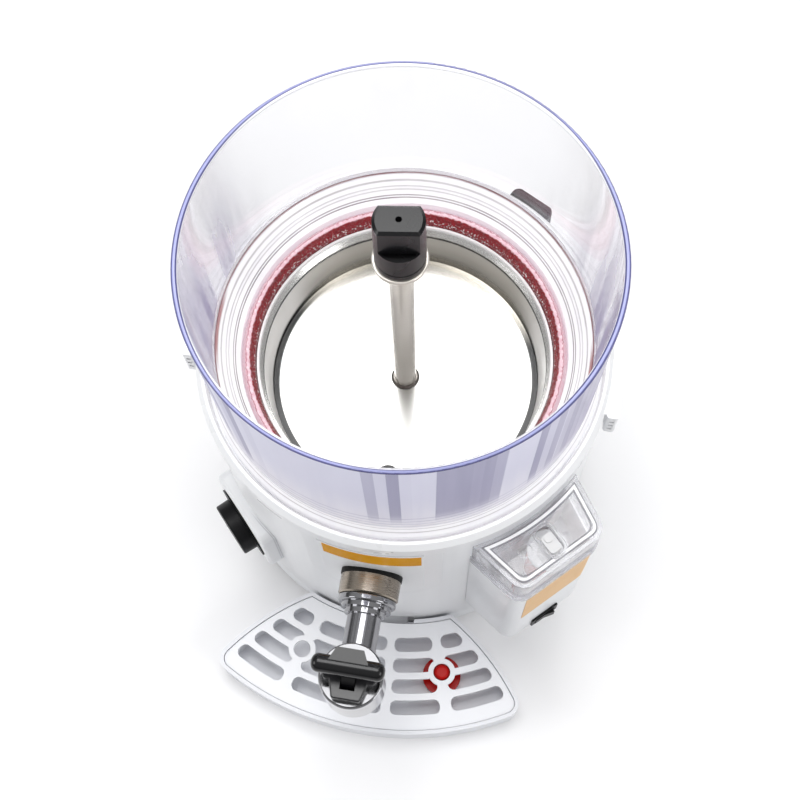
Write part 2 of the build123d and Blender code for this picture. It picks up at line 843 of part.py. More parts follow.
# Tap fittings on the front panel
with BuildPart() as tap_gasket:
    with BuildSketch(outward(0, panel_face - 6, tap_height)):
        Circle(gasket_radius)
        Circle(pipe_radius + sleeve_gap, mode=Mode.SUBTRACT)
    extrude(amount=gasket_thickness + 6)
    gasket_back = radial_trim(level(tap_height - 2 * gasket_radius), panel_face, 4 * gasket_radius)
    add(gasket_back, mode=Mode.SUBTRACT)
    fillet(tap_gasket.faces().sort_by(Axis.Y)[0].edges().sort_by(SortBy.RADIUS)[-1:], radius=1)
save(tap_gasket, "tap_gasket")

with BuildPart() as tap_collar:
    with BuildSketch(outward(0, panel_gasket_face, tap_height)):
        Circle(collar_radius)
        Circle(pipe_radius + sleeve_gap, mode=Mode.SUBTRACT)
    extrude(amount=collar_length)
    chamfer(tap_collar.faces().sort_by(Axis.Y)[0].edges().sort_by(SortBy.RADIUS)[-1:], length=0.8)
save(tap_collar, "tap_collar")


def nut_step(start, length, radius):
    """One round step of the chrome nut, measured outward from the collar's face."""
    with BuildSketch(outward(0, collar_face + start, tap_height)) as step:
        Circle(radius)
        Circle(pipe_radius + sleeve_gap, mode=Mode.SUBTRACT)
    return extrude(step.sketch, amount=length, mode=Mode.PRIVATE)


with BuildPart() as tap_nut:
    add(nut_step(0, 4.5, nut_radius + 1))
    add(nut_step(4.5, 3, nut_radius - 1.4))
    add(nut_step(7.5, nut_length - 7.5, nut_neck_radius))
    fillet(tap_nut.edges().filter_by(GeomType.CIRCLE).group_by(SortBy.RADIUS)[-1], radius=1.2)
save(tap_nut, "tap_nut")

pipe_reach = -head_y - head_bore - seat_gap
tap_pipe = round_bar(
    outward(0, outlet_end + seat_gap, tap_height),
    pipe_radius,
    pipe_reach - outlet_end - seat_gap,
    pipe_bore,
)
save(tap_pipe, "tap_pipe")

# Tap head: upright valve body with its seat and spout
tap_axis = Axis((0, head_y, 0), (0, 0, 1))


def tap_section(*points):
    """Closed outline of (radius, height) points, to be revolved about the tap head's axis."""
    with BuildSketch(Plane.XZ.offset(-head_y)) as outline:
        with BuildLine():
            Polyline(*points, close=True)
        make_face()
    return outline.sketch


with BuildPart() as tap_head:
    head_outline = tap_section(
        (head_bore, head_top),
        (head_radius, head_top),
        (head_radius, seat_height),
        (head_radius - 3, seat_height - 6),
        (spout_radius + 0.8, seat_height - 10),
        (spout_radius, spout_low),
        (spout_bore, spout_low),
        (spout_bore, seat_height),
        (head_bore, seat_height),
    )
    revolve(head_outline, axis=tap_axis)
    with BuildSketch(outward(0, -head_y - head_bore + 6, tap_height)):
        Circle(pipe_radius + sleeve_gap)
    extrude(amount=-20, mode=Mode.SUBTRACT)
    top_rim = tap_head.edges().filter_by(GeomType.CIRCLE).group_by(Axis.Z)[-1]
    fillet(top_rim.sort_by(SortBy.RADIUS)[-1:], radius=1)
save(tap_head, "tap_head")

with BuildPart() as plunger:
    with BuildSketch(level(seat_height + seal_thickness)):
        with Locations((0, head_y)):
            Circle(plunger_radius)
    extrude(amount=plunger_height)
    with BuildSketch(level(seat_height + seal_thickness + plunger_height)):
        with Locations((0, head_y)):
            Circle(stem_radius)
    extrude(amount=stem_top - seat_height - seal_thickness - plunger_height)
save(plunger, "plunger")

plunger_seal = round_bar(Plane((0, head_y, seat_height)), seal_radius, seal_thickness)
save(plunger_seal, "plunger_seal")

spring_low = seat_height + seal_thickness + plunger_height + seat_gap
tap_spring = round_bar(
    Plane((0, head_y, spring_low)),
    stem_radius + 3.2,
    plug_low - spring_low - seat_gap,
    stem_radius + 0.8,
)
save(tap_spring, "tap_spring")

# Chrome cap that plugs the head's mouth and guides the plunger's stem
slot_middle = head_y + (slot_back - slot_front) / 2
with BuildPart() as tap_cap:
    with BuildSketch(level(plug_low)):
        with Locations((0, head_y)):
            Circle(head_bore - sleeve_gap)
    extrude(amount=head_top - plug_low)
    with BuildSketch(level(head_top)):
        with Locations((0, head_y)):
            Circle(head_radius - 0.5)
    extrude(amount=deck_top - head_top)
    fillet(tap_cap.edges().group_by(Axis.Z)[-1], radius=0.8)
    with BuildSketch(level(slot_floor)):
        with Locations((0, slot_middle)):
            Rectangle(lever_slot, slot_back + slot_front)
    extrude(amount=30, mode=Mode.SUBTRACT)
    with BuildSketch(level(plug_low)):
        with Locations((0, head_y)):
            Circle(stem_radius + running_gap)
    extrude(amount=30, mode=Mode.SUBTRACT)
save(tap_cap, "tap_cap")

# Black bonnet on the cap, with the slot and the two ears that carry the lever's pin
with BuildPart() as tap_bonnet:
    with BuildSketch(level(deck_top)) as bonnet_plan:
        with BuildLine():
            Polyline(
                (-bonnet_half, head_y + bonnet_back),
                (bonnet_half, head_y + bonnet_back),
                (bonnet_half, head_y - bonnet_front / 3),
                (bonnet_front_half, head_y - bonnet_front),
                (-bonnet_front_half, head_y - bonnet_front),
                (-bonnet_half, head_y - bonnet_front / 3),
                close=True,
            )
        make_face()
        fillet(bonnet_plan.vertices(), radius=2)
        with Locations((0, head_y)):
            RectangleRounded(2 * ear_half, ear_depth, 3)
    extrude(amount=bonnet_top - deck_top)
    fillet(tap_bonnet.edges().group_by(Axis.Z)[-1], radius=1)
    with BuildSketch(level(deck_top)):
        with Locations((0, slot_middle)):
            Rectangle(lever_slot, slot_back + slot_front)
    extrude(amount=30, mode=Mode.SUBTRACT)
    with BuildSketch(Plane((-20, head_y, pivot_height), x_dir=(0, 1, 0), z_dir=(1, 0, 0))):
        Circle(pivot_pin_radius + sleeve_gap)
    extrude(amount=40, mode=Mode.SUBTRACT)
save(tap_bonnet, "tap_bonnet")

lever_pin = round_bar(
    Plane((-pin_half, head_y, pivot_height), x_dir=(0, 1, 0), z_dir=(1, 0, 0)),
    pivot_pin_radius,
    2 * pin_half,
)
save(lever_pin, "lever_pin")

# T-handled lever, upright at rest and pulled forward to pour, with a round guard that fills the slot
handle_height = pivot_height + lever_reach
with BuildPart() as tap_lever:
    with BuildSketch(Plane((-lever_width / 2, head_y, pivot_height), x_dir=(0, 1, 0), z_dir=(1, 0, 0))):
        Circle(lever_guard_radius)
        with Locations((-lever_guard_radius / 2, lever_guard_radius / 2)):
            Rectangle(lever_guard_radius, lever_guard_radius, mode=Mode.INTERSECT)
        Circle(lever_hub_radius)
        with BuildLine():
            Polyline((-3.6, 0), (3.6, 0), (5.6, lever_reach - 2), (-3.6, lever_reach), close=True)
        make_face()
        Circle(pivot_pin_radius + running_gap, mode=Mode.SUBTRACT)
    extrude(amount=lever_width)
    with BuildSketch(Plane((-handle_length / 2, head_y, handle_height), x_dir=(0, 1, 0), z_dir=(1, 0, 0))):
        Circle(handle_radius)
    extrude(amount=handle_length)
    round_edges = tap_lever.edges().filter_by(GeomType.CIRCLE)
    handle_ends = round_edges.filter_by(lambda edge: abs(edge.arc_center.X) > handle_length / 2 - 0.1)
    fillet(handle_ends, radius=handle_radius * 0.8)
    with BuildSketch(level(handle_height - 1.5)):
        with Locations((0, head_y + thumb_rest / 2)):
            Trapezoid(25, thumb_rest, 65)
    extrude(amount=handle_radius + 1.1)
save(tap_lever, "tap_lever")

# Thermostat, its dial plate and knob
with BuildPart() as thermostat_body:
    with BuildSketch(outward(dial_azimuth, thermostat_front - thermostat_depth, dial_height)):
        RectangleRounded(thermostat_width, thermostat_width, 3)
    extrude(amount=thermostat_depth)
    with BuildSketch(outward(dial_azimuth, thermostat_front, dial_height)):
        Circle(spindle_sleeve_radius)
    extrude(amount=pad_face - thermostat_front)
    with BuildSketch(outward(dial_azimuth, thermostat_front - 12, dial_height)):
        Circle(spindle_radius + running_gap)
    extrude(amount=40, mode=Mode.SUBTRACT)
save(thermostat_body, "thermostat_body")

with BuildPart() as dial_plate:
    with BuildSketch(outward(dial_azimuth, pad_face, dial_height)):
        Circle(dial_plate_radius)
        Circle(spindle_radius + 0.6, mode=Mode.SUBTRACT)
    extrude(amount=dial_plate_thickness)
save(dial_plate, "dial_plate")

spindle_start = thermostat_front - 11.5
dial_spindle = round_bar(
    outward(dial_azimuth, spindle_start, dial_height),
    spindle_radius,
    knob_face - 2.5 - spindle_start,
)
save(dial_spindle, "dial_spindle")

with BuildPart() as dial_knob:
    with BuildSketch(outward(dial_azimuth, knob_low, dial_height)):
        Circle(knob_radius)
    extrude(amount=knob_face - knob_low, taper=1.5)
    knob_plane = outward(dial_azimuth, knob_face, dial_height)
    knob_front = dial_knob.faces().sort_by(Axis(knob_plane.origin, knob_plane.z_dir))[-1]
    fillet(knob_front.edges(), radius=1.2)
    with BuildSketch(outward(dial_azimuth, knob_face, dial_height)):
        with Locations((0, knob_radius * 0.62)):
            RectangleRounded(1.6, 8, 0.7)
    extrude(amount=-0.8, mode=Mode.SUBTRACT)
    with BuildSketch(outward(dial_azimuth, knob_low, dial_height)):
        Circle(spindle_radius + sleeve_gap)
    extrude(amount=knob_face - knob_low - 2.5 + seat_gap, mode=Mode.SUBTRACT)
save(dial_knob, "dial_knob")


def box_sketch(plane, inset):
    """Plan of the filler box on a turned plane, drawn in by an inset on its three outer sides."""
    slope = (box_back_half - box_face_half) / (box_face - box_back)
    back_half = box_back_half - inset * sqrt(1 + slope**2)
    face_half = box_face_half - inset * sqrt(1 + slope**2) + inset * slope
    with BuildSketch(plane) as plan:
        with BuildLine():
            Polyline(
                (-back_half, -box_back),
                (back_half, -box_back),
                (face_half, -box_face + inset),
                (-face_half, -box_face + inset),
                close=True,
            )
        make_face()
        fillet(outer_corners(plan), radius=box_corner - inset)
    return plan.sketch


def outer_corners(plan):
    """The two corners of a box plan that lie furthest from the bowl's axis."""
    return plan.vertices().sort_by_distance((0, 0, 0))[-2:]


# White filler box for the water bath, with the switch compartment below its water floor
box_bore = shell_radius + seat_gap
with BuildPart() as filler_box:
    extrude(box_sketch(turned(box_azimuth, box_low), 0), amount=box_top - box_low)
    foot_edges = filler_box.edges().group_by(Axis.Z)[0]
    fillet(foot_edges.sort_by_distance((0, 0, box_low))[1:], radius=box_foot_round)
    add(radial_trim(level(box_low), box_bore, box_top - box_low), mode=Mode.SUBTRACT)
    water_room = extrude(
        box_sketch(turned(box_azimuth, water_floor), box_wall),
        amount=box_top - water_floor,
        mode=Mode.PRIVATE,
    )
    wall_band = radial_trim(level(water_floor), box_bore + box_wall, box_top - water_floor)
    add(water_room - wall_band, mode=Mode.SUBTRACT)
    room_height = water_floor - box_low - 2 * box_wall
    switch_room = extrude(
        box_sketch(turned(box_azimuth, box_low + box_wall), box_wall),
        amount=room_height,
        mode=Mode.PRIVATE,
    )
    room_band = radial_trim(level(box_low + box_wall), box_bore + box_wall, room_height)
    add(switch_room - room_band, mode=Mode.SUBTRACT)
    with BuildSketch(outward(box_azimuth, box_face - 8, switch_height)):
        Rectangle(switch_sleeve_width + 2 * sleeve_gap, switch_sleeve_tall + 2 * sleeve_gap)
    extrude(amount=16, mode=Mode.SUBTRACT)
    with BuildSketch(outward(box_azimuth, shell_bore, switch_height + 18)):
        Circle(wire_hole_radius)
    extrude(amount=12, mode=Mode.SUBTRACT)
    with BuildSketch(outward(box_azimuth, shell_bore, filler_tube_height)):
        Circle(filler_tube_radius + sleeve_gap)
    extrude(amount=12, mode=Mode.SUBTRACT)
save(filler_box, "filler_box")

filler_tube = round_bar(
    outward(box_azimuth, bath_radius - 3, filler_tube_height),
    filler_tube_radius,
    box_bore + box_wall + 2 - bath_radius + 3,
    filler_tube_bore,
)
save(filler_tube, "filler_tube")

# Clear lid of the filler box, with a window that the float's tab stands in
lid_back = ring_radius + slide_gap
with BuildPart() as filler_lid:
    extrude(box_sketch(turned(box_azimuth, box_top), -lid_overhang), amount=lid_top - box_top)
    for rib in range(lid_rib_count):
        rib_low = box_top + rib * lid_rib_pitch
        extrude(box_sketch(turned(box_azimuth, rib_low), -lid_overhang - lid_rib), amount=lid_rib)
    add(radial_trim(level(box_top), lid_back, lid_top - box_top), mode=Mode.SUBTRACT)
    bead_block = extrude(
        box_sketch(turned(box_azimuth, lid_top), bead_inset),
        amount=bead_rise,
        mode=Mode.PRIVATE,
    )
    bead_room = extrude(
        box_sketch(turned(box_azimuth, lid_top), bead_inset + bead_width),
        amount=bead_rise,
        mode=Mode.PRIVATE,
    )
    bead_back = lid_back + bead_inset
    bead_block = bead_block - radial_trim(level(lid_top), bead_back, bead_rise)
    bead_room = bead_room - radial_trim(level(lid_top), bead_back + bead_width, bead_rise)
    add(bead_block - bead_room)
    lid_hollow = extrude(
        box_sketch(turned(box_azimuth, box_top), lid_wall - lid_overhang),
        amount=lid_top - box_top - lid_wall,
        mode=Mode.PRIVATE,
    )
    add(lid_hollow - radial_trim(level(box_top), lid_back + lid_wall, lid_top - box_top), mode=Mode.SUBTRACT)
    with BuildSketch(turned(box_azimuth, lid_top - lid_wall)):
        with Locations((window_along, -window_out)):
            RectangleRounded(window_width + 2 * window_wall, window_length + 2 * window_wall, 5)
    extrude(amount=lid_wall + window_rise)
    with BuildSketch(turned(box_azimuth, lid_top - lid_wall)):
        with Locations((window_along, -window_out)):
            RectangleRounded(window_width, window_length, 3.5)
    extrude(amount=lid_wall + window_rise, mode=Mode.SUBTRACT)
    with BuildSketch(turned(box_azimuth, lid_top - lid_wall)):
        with Locations((-14, 18.5 - box_face), (-19.3, 7.5 - box_face)):
            Circle(4)
    extrude(amount=-3)
save(filler_lid, "filler_lid")

# Water level float: red body with a white head and tab
float_top = water_floor + level_float_height
with BuildPart() as level_float:
    with BuildSketch(turned(box_azimuth, water_floor)):
        with Locations((float_along, -float_out)):
            Circle(level_float_radius - 0.6)
    extrude(amount=level_float_height)
    fillet(level_float.edges().group_by(Axis.Z)[0], radius=2)
save(level_float, "level_float")

with BuildPart() as float_head:
    with BuildSketch(turned(box_azimuth, float_top)):
        with Locations((float_along, -float_out)):
            Circle(level_float_radius)
    extrude(amount=3)
    fillet(float_head.edges().group_by(Axis.Z)[-1], radius=1)
    with BuildSketch(turned(box_azimuth, float_top + 3)):
        with Locations((window_along, -tab_out)):
            RectangleRounded(tab_width, tab_length, 2)
    extrude(amount=lid_top + 2 - float_top - 3)
    with BuildSketch(turned(box_azimuth, lid_top + 2)):
        with Locations((window_along, -tab_out + 3)):
            Circle(2.6)
    extrude(amount=0.8)
save(float_head, "float_head")

# Switch frame let into the box's face, and the rocker that tips on two pins in its walls
with BuildPart() as switch_frame_part:
    with BuildSketch(outward(box_azimuth, box_face - switch_depth, switch_height)):
        Rectangle(switch_sleeve_width, switch_sleeve_tall)
    extrude(amount=switch_depth)
    with BuildSketch(outward(box_azimuth, box_face, switch_height)):
        RectangleRounded(switch_width, switch_tall, 1.5)
    extrude(amount=switch_frame_proud)
    with BuildSketch(outward(box_azimuth, box_face - switch_depth + 1.5, switch_height)):
        Rectangle(2 * rocker_pocket_half, rocker_tall + 2 * slide_gap)
    extrude(amount=switch_depth + 10, mode=Mode.SUBTRACT)
    with BuildSketch(turned(box_azimuth, switch_height - switch_sleeve_tall / 2)):
        with Locations((0, -rocker_pivot)):
            Circle(rocker_pin_radius + running_gap)
    extrude(amount=switch_sleeve_tall, mode=Mode.SUBTRACT)
save(switch_frame_part, "switch_frame")

with BuildPart() as switch_rocker:
    pivot_point = outward(box_azimuth, rocker_pivot, switch_height - rocker_tall / 2).origin
    rocker_angle = radians(box_azimuth - rocker_tilt)
    rocker_along = (cos(rocker_angle), sin(rocker_angle), 0)
    with BuildSketch(Plane(pivot_point, x_dir=rocker_along, z_dir=(0, 0, 1))):
        with BuildLine():
            Polyline(
                (-rocker_half, -rocker_rise),
                (0, -rocker_rise + 0.9),
                (rocker_half, -rocker_rise),
                (rocker_half - 1, 0.5),
                (0, 3.5),
                (1 - rocker_half, 0.5),
                close=True,
            )
        make_face()
    extrude(amount=rocker_tall)
    with BuildSketch(turned(box_azimuth, switch_height - rocker_pin_half)):
        with Locations((0, -rocker_pivot)):
            Circle(rocker_pin_radius)
    extrude(amount=2 * rocker_pin_half)
save(switch_rocker, "switch_rocker")


def tray_sketch(plane, inset, corner):
    """Fan-shaped plan of the drip tray, drawn in by an inset all round, with its front corners rounded."""
    with BuildSketch(plane) as plan:
        Circle(tray_front - inset)
        for side in (-1, 1):
            with Locations((side * side_centre_x, side_centre_y)):
                Circle(side_radius - inset, mode=Mode.INTERSECT)
        Circle(tray_back + inset, mode=Mode.SUBTRACT)
        if corner:
            fillet(plan.vertices().sort_by(Axis.Y)[:2], radius=corner - inset)
    return plan.sketch


# Drip tray that slides out forward on a tongue in the shell's slot
with BuildPart() as drip_tray:
    extrude(tray_sketch(level(0), 0, tray_corner), amount=tray_height)
    fillet(drip_tray.edges().group_by(Axis.Z)[0], radius=2)
    tray_well = tray_sketch(level(tray_floor), tray_rim + tray_ledge, tray_corner)
    extrude(tray_well, amount=tray_height, mode=Mode.SUBTRACT)
    grille_seat = tray_sketch(level(grille_low), tray_rim, tray_corner)
    extrude(grille_seat, amount=tray_height, mode=Mode.SUBTRACT)
    with BuildSketch(level(tongue_height + tongue_thickness)):
        Circle(tray_back + tray_rim)
        Rectangle(notch_width, 3 * tray_back, mode=Mode.INTERSECT)
    extrude(amount=tray_height, mode=Mode.SUBTRACT)
    with BuildSketch(level(tongue_height)):
        with Locations((0, -tray_back + tongue_reach / 2 - 2)):
            Rectangle(tongue_width, tongue_reach + 4)
    extrude(amount=tongue_thickness)
save(drip_tray, "drip_tray")


def slot_sketch(plane):
    """Curved rows of drain slots, kept inside the grille's margin and clear of the two round holes."""
    with BuildSketch(plane) as slots:
        for row in range(row_count):
            inner = first_row + row * row_pitch
            outer = inner + row_width
            for start, end in column_edges:
                with BuildLine():
                    inner_arc = CenterArc((0, 0), inner, start - 90, end - start)
                    outer_arc = CenterArc((0, 0), outer, start - 90, end - start)
                    Line(inner_arc @ 0, outer_arc @ 0)
                    Line(inner_arc @ 1, outer_arc @ 1)
                make_face()
        add(tray_sketch(plane, slot_margin, 0), mode=Mode.INTERSECT)
        fillet(slots.vertices(), radius=slot_round)
        with Locations((-float_hole_x, float_hole_y), (float_hole_x, float_hole_y)):
            Circle(float_hole_radius + float_hole_ring, mode=Mode.SUBTRACT)
            Circle(float_hole_radius)
    return slots.sketch


with BuildPart() as drip_grille:
    extrude(tray_sketch(level(grille_low), tray_rim + slide_gap, tray_corner), amount=grille_thickness)
    extrude(slot_sketch(level(grille_low)), amount=grille_thickness, mode=Mode.SUBTRACT)
save(drip_grille, "drip_grille")

with BuildPart() as tray_float:
    with BuildSketch(level(tray_floor)):
        with Locations((float_hole_x, float_hole_y)):
            Circle(tray_float_radius)
    extrude(amount=tray_float_disc)
    with BuildSketch(level(tray_floor + tray_float_disc)):
        with Locations((float_hole_x, float_hole_y)):
            Circle(tray_float_stem)
    extrude(amount=tray_height - grille_recess - tray_floor - tray_float_disc)
    fillet(tray_float.edges().group_by(Axis.Z)[-1], radius=2)
save(tray_float, "tray_float")

# Black cord inlet at the rear, with its gland pointing down, and the terminal block inside
inlet_depth = inlet_face - shell_bore
inlet_middle = (inlet_face + shell_bore) / 2
with BuildPart() as cord_inlet:
    with BuildSketch(turned(inlet_azimuth, inlet_low)) as inlet_plan:
        with Locations((0, -inlet_middle)):
            Rectangle(inlet_width, inlet_depth)
        fillet(outer_corners(inlet_plan), radius=inlet_corner)
    extrude(amount=inlet_top - inlet_low)
    inlet_top_edges = cord_inlet.edges().group_by(Axis.Z)[-1]
    fillet(inlet_top_edges.sort_by_distance((0, 0, inlet_top))[1:], radius=1)
    add(radial_trim(level(inlet_low), box_bore, inlet_height), mode=Mode.SUBTRACT)
    with BuildSketch(turned(inlet_azimuth, inlet_low + inlet_wall)) as inlet_room:
        with Locations((0, -inlet_middle + inlet_wall / 2 - 1)):
            Rectangle(inlet_width - 2 * inlet_wall, inlet_depth - inlet_wall - 2)
        Circle(box_bore + inlet_wall, mode=Mode.SUBTRACT)
    extrude(amount=inlet_height - 2 * inlet_wall, mode=Mode.SUBTRACT)
    with BuildSketch(outward(inlet_azimuth, shell_bore, inlet_hole_height)):
        Circle(wire_hole_radius)
    extrude(amount=10, mode=Mode.SUBTRACT)
    with BuildSketch(turned(inlet_azimuth, inlet_low)):
        with Locations((0, -gland_out)):
            Circle(gland_radius + sleeve_gap)
    extrude(amount=inlet_wall, mode=Mode.SUBTRACT)
save(cord_inlet, "cord_inlet")

with BuildPart() as cord_gland:
    with BuildSketch(turned(inlet_azimuth, inlet_low - 5)):
        with Locations((0, -gland_out)):
            RegularPolygon(gland_radius + 1.6, 6)
    extrude(amount=5)
    with BuildSketch(turned(inlet_azimuth, inlet_low - 5)):
        with Locations((0, -gland_out)):
            Circle(gland_radius)
    extrude(amount=5 + inlet_wall + 3)
    with BuildSketch(turned(inlet_azimuth, inlet_low - 5)):
        with Locations((0, -gland_out)):
            Circle(gland_radius - 0.4)
    extrude(amount=-8, taper=8)
    with BuildSketch(turned(inlet_azimuth, inlet_low - 20)):
        with Locations((0, -gland_out)):
            Circle(gland_bore)
    extrude(amount=40, mode=Mode.SUBTRACT)
save(cord_gland, "cord_gland")

with BuildPart() as terminal_block:
    with BuildSketch(level(base_top)):
        with Locations((52, 62)):
            RectangleRounded(44, 20, 2)
    extrude(amount=16)
    with BuildSketch(level(base_top + 16)):
        with Locations((52, 62)):
            with GridLocations(10, 0, 4, 1):
                Circle(3)
    extrude(amount=-6, mode=Mode.SUBTRACT)
save(terminal_block, "terminal_block")
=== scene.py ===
"""Looks of the hot chocolate dispenser: finishes, small added pieces, studio and camera."""

import math

import bmesh
import bpy
from mathutils import Matrix, Vector


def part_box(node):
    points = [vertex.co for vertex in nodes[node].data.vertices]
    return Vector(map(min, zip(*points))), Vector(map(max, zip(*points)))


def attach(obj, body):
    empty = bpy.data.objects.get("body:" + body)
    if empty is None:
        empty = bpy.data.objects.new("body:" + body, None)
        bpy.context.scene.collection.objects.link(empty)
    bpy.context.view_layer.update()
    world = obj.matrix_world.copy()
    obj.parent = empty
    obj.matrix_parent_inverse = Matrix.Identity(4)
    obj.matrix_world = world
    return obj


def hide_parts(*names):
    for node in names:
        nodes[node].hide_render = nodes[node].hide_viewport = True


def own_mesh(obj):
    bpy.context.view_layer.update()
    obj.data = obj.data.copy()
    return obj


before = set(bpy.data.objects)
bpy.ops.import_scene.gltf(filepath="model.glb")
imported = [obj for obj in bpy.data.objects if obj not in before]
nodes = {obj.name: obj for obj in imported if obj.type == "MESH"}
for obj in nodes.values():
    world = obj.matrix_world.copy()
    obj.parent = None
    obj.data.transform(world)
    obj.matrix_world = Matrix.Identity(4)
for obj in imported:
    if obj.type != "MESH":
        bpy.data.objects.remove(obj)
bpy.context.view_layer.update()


class Wire:
    """An output socket. Arithmetic on it adds Math nodes to the tree that it belongs to."""

    def __init__(self, tree, socket):
        self.tree = tree
        self.socket = socket

    def math(self, operation, *values):
        return self.tree.node("Math", {"operation": operation}, dict(enumerate(values)))

    def __add__(self, other):
        return self.math("ADD", self, other)

    def __sub__(self, other):
        return self.math("SUBTRACT", self, other)

    def __rsub__(self, other):
        return self.math("SUBTRACT", other, self)

    def __mul__(self, other):
        return self.math("MULTIPLY", self, other)

    def __truediv__(self, other):
        return self.math("DIVIDE", self, other)

    def __rtruediv__(self, other):
        return self.math("DIVIDE", other, self)

    def __pow__(self, other):
        return self.math("POWER", self, other)

    __radd__ = __add__
    __rmul__ = __mul__


class Tree:
    """A node tree that is built from Python expressions."""

    def __init__(self, tree):
        self.tree = tree
        self.tree.nodes.clear()

    def node(self, kind, settings=None, sockets=None, output=0):
        """Add one node: its settings first, then the values or wires of its sockets."""
        made = self.tree.nodes.new("ShaderNode" + kind)
        for name, value in (settings or {}).items():
            if name == "stops":
                set_stops(made.color_ramp, value)
            else:
                setattr(made, name, value)
        for name, value in (sockets or {}).items():
            if isinstance(value, Wire):
                self.tree.links.new(value.socket, made.inputs[name])
            else:
                made.inputs[name].default_value = value
        return Wire(self, made.outputs[output])

    def place(self):
        """Where a point lies on the object, in metres."""
        return self.node("TexCoord", output="Object")

    def stretched(self, vector, scale):
        """A place scaled by its own amount along each axis."""
        return self.node("Mapping", {}, {"Vector": vector, "Scale": scale})

    def parts_of(self, vector):
        """The three numbers of a place."""
        x = self.node("SeparateXYZ", {}, {0: vector}, "X")
        made = x.socket.node
        return x, Wire(self, made.outputs["Y"]), Wire(self, made.outputs["Z"])

    def noise(self, vector, scale, detail=3.0):
        return self.node("TexNoise", {}, {"Vector": vector, "Scale": scale, "Detail": detail}, "Fac")

    def step(self, value, low, high, start=0.0, end=1.0):
        """A value carried smoothly from one range to another."""
        settings = {"interpolation_type": "SMOOTHSTEP"}
        return self.node("MapRange", settings, {0: value, 1: low, 2: high, 3: start, 4: end})

    def ridge(self, value, middle, half):
        """One at a middle value, falling smoothly to nothing half a width away on either side."""
        return self.step(value, middle - half, middle) * self.step(value, middle, middle + half, 1.0, 0.0)

    def spread(self, value, low, high):
        """A noise value, mostly between 0.25 and 0.75, carried smoothly to a range."""
        return self.step(value, 0.25, 0.75, low, high)

    def blend(self, factor, first, second):
        """Two colours mixed."""
        settings = {"data_type": "RGBA"}
        return self.node("Mix", settings, {0: factor, 6: colour(first), 7: colour(second)}, 2)

    def layer(self, factor, under, over):
        """Two shaders mixed."""
        return self.node("MixShader", {}, {0: factor, 1: under, 2: over})

    def ray(self, kind):
        """One for rays of a kind."""
        return self.node("LightPath", output=f"Is {kind} Ray")

    def facing(self):
        """Nothing where a surface is seen straight on, one where it is seen edge on."""
        return self.node("LayerWeight", {}, {"Blend": 0.5}, "Facing")

    def relief(self, height, depth):
        """A bumped normal, with a depth in metres."""
        return self.node("Bump", {}, {"Height": height, "Distance": depth}, "Normal")


class Finish(Tree):
    """A material."""

    def __init__(self, name):
        self.material = bpy.data.materials.new(name)
        self.material.use_nodes = True
        super().__init__(self.material.node_tree)

    def shade(self, **sockets):
        """The Principled shader, with its sockets named in Python's way."""
        named = {}
        for key, value in sockets.items():
            named[key.replace("_", " ")] = colour(value) if key.endswith("Color") else value
        return self.node("BsdfPrincipled", {}, named)

    def milky(self, tint, glow, roughness=0.35):
        """Milky plastic that scatters light back in one tint and lets it through in another."""
        back = self.shade(Base_Color=tint, Roughness=roughness, Specular_IOR_Level=0.1)
        through = self.node("BsdfTranslucent", {}, {"Color": colour(glow)})
        return self.layer(0.4, back, through)

    def close(self, surface):
        end = self.tree.nodes.new("ShaderNodeOutputMaterial")
        self.tree.links.new(surface.socket, end.inputs["Surface"])
        return self.material


def colour(value):
    """Three numbers as a colour socket's four; a wire stays as it is."""
    if isinstance(value, Wire):
        return value
    return (*value, 1.0)


def set_stops(ramp, stops):
    """Fill a colour ramp with (position, grey) stops."""
    while len(ramp.elements) < len(stops):
        ramp.elements.new(0.5)
    for element, (position, grey) in zip(ramp.elements, stops):
        element.position = position
        element.color = (grey, grey, grey, 1.0)


def moulded(name, pale, deep, roughness, shine=0.5):
    """Smooth moulded plastic with a slow change of tone."""
    finish = Finish(name)
    place = finish.place()
    surface = finish.shade(
        Base_Color=finish.blend(finish.spread(finish.noise(place, 9.0), 0.0, 1.0), pale, deep),
        Roughness=finish.spread(finish.noise(place, 25.0), roughness - 0.015, roughness + 0.015),
        Specular_IOR_Level=shine,
    )
    return finish.close(surface)


def grained(name, pale, deep, roughness, grain):
    """Plastic or rubber from a mould with a fine leather grain, its depth in metres."""
    finish = Finish(name)
    place = finish.place()
    grains = finish.noise(place, 1400.0, 2.0)
    surface = finish.shade(
        Base_Color=finish.blend(finish.spread(grains, 0.0, 1.0), pale, deep),
        Roughness=finish.spread(finish.noise(place, 60.0), roughness - 0.04, roughness + 0.04),
        Specular_IOR_Level=0.18,
        Normal=finish.relief(grains, grain),
    )
    return finish.close(surface)


def plated(name, tint, roughness, metal=1.0):
    """Bright plated metal with faint polishing marks, or satin metal where it is less than all metal."""
    finish = Finish(name)
    place = finish.place()
    marks = finish.noise(place, 220.0, 4.0)
    surface = finish.shade(
        Base_Color=finish.blend(finish.noise(place, 30.0), tint, [0.93 * part for part in tint]),
        Metallic=metal,
        Roughness=finish.spread(marks, roughness * 0.6, roughness * 1.5),
    )
    return finish.close(surface)


def brushed(name, tint, roughness, scale, contrast=0.8):
    """Metal with fine brush lines, drawn out along the axes that have a small scale."""
    finish = Finish(name)
    place = finish.place()
    lines = finish.spread(finish.noise(finish.stretched(place, scale), 1.0, 3.0), 0.0, 1.0)
    slow = finish.noise(place, 25.0)
    surface = finish.shade(
        Base_Color=finish.blend(lines, tint, [contrast * part for part in tint]),
        Metallic=1.0,
        Roughness=finish.spread(lines, roughness * 0.85, roughness * 1.15) + 0.05 * slow,
    )
    return finish.close(surface)


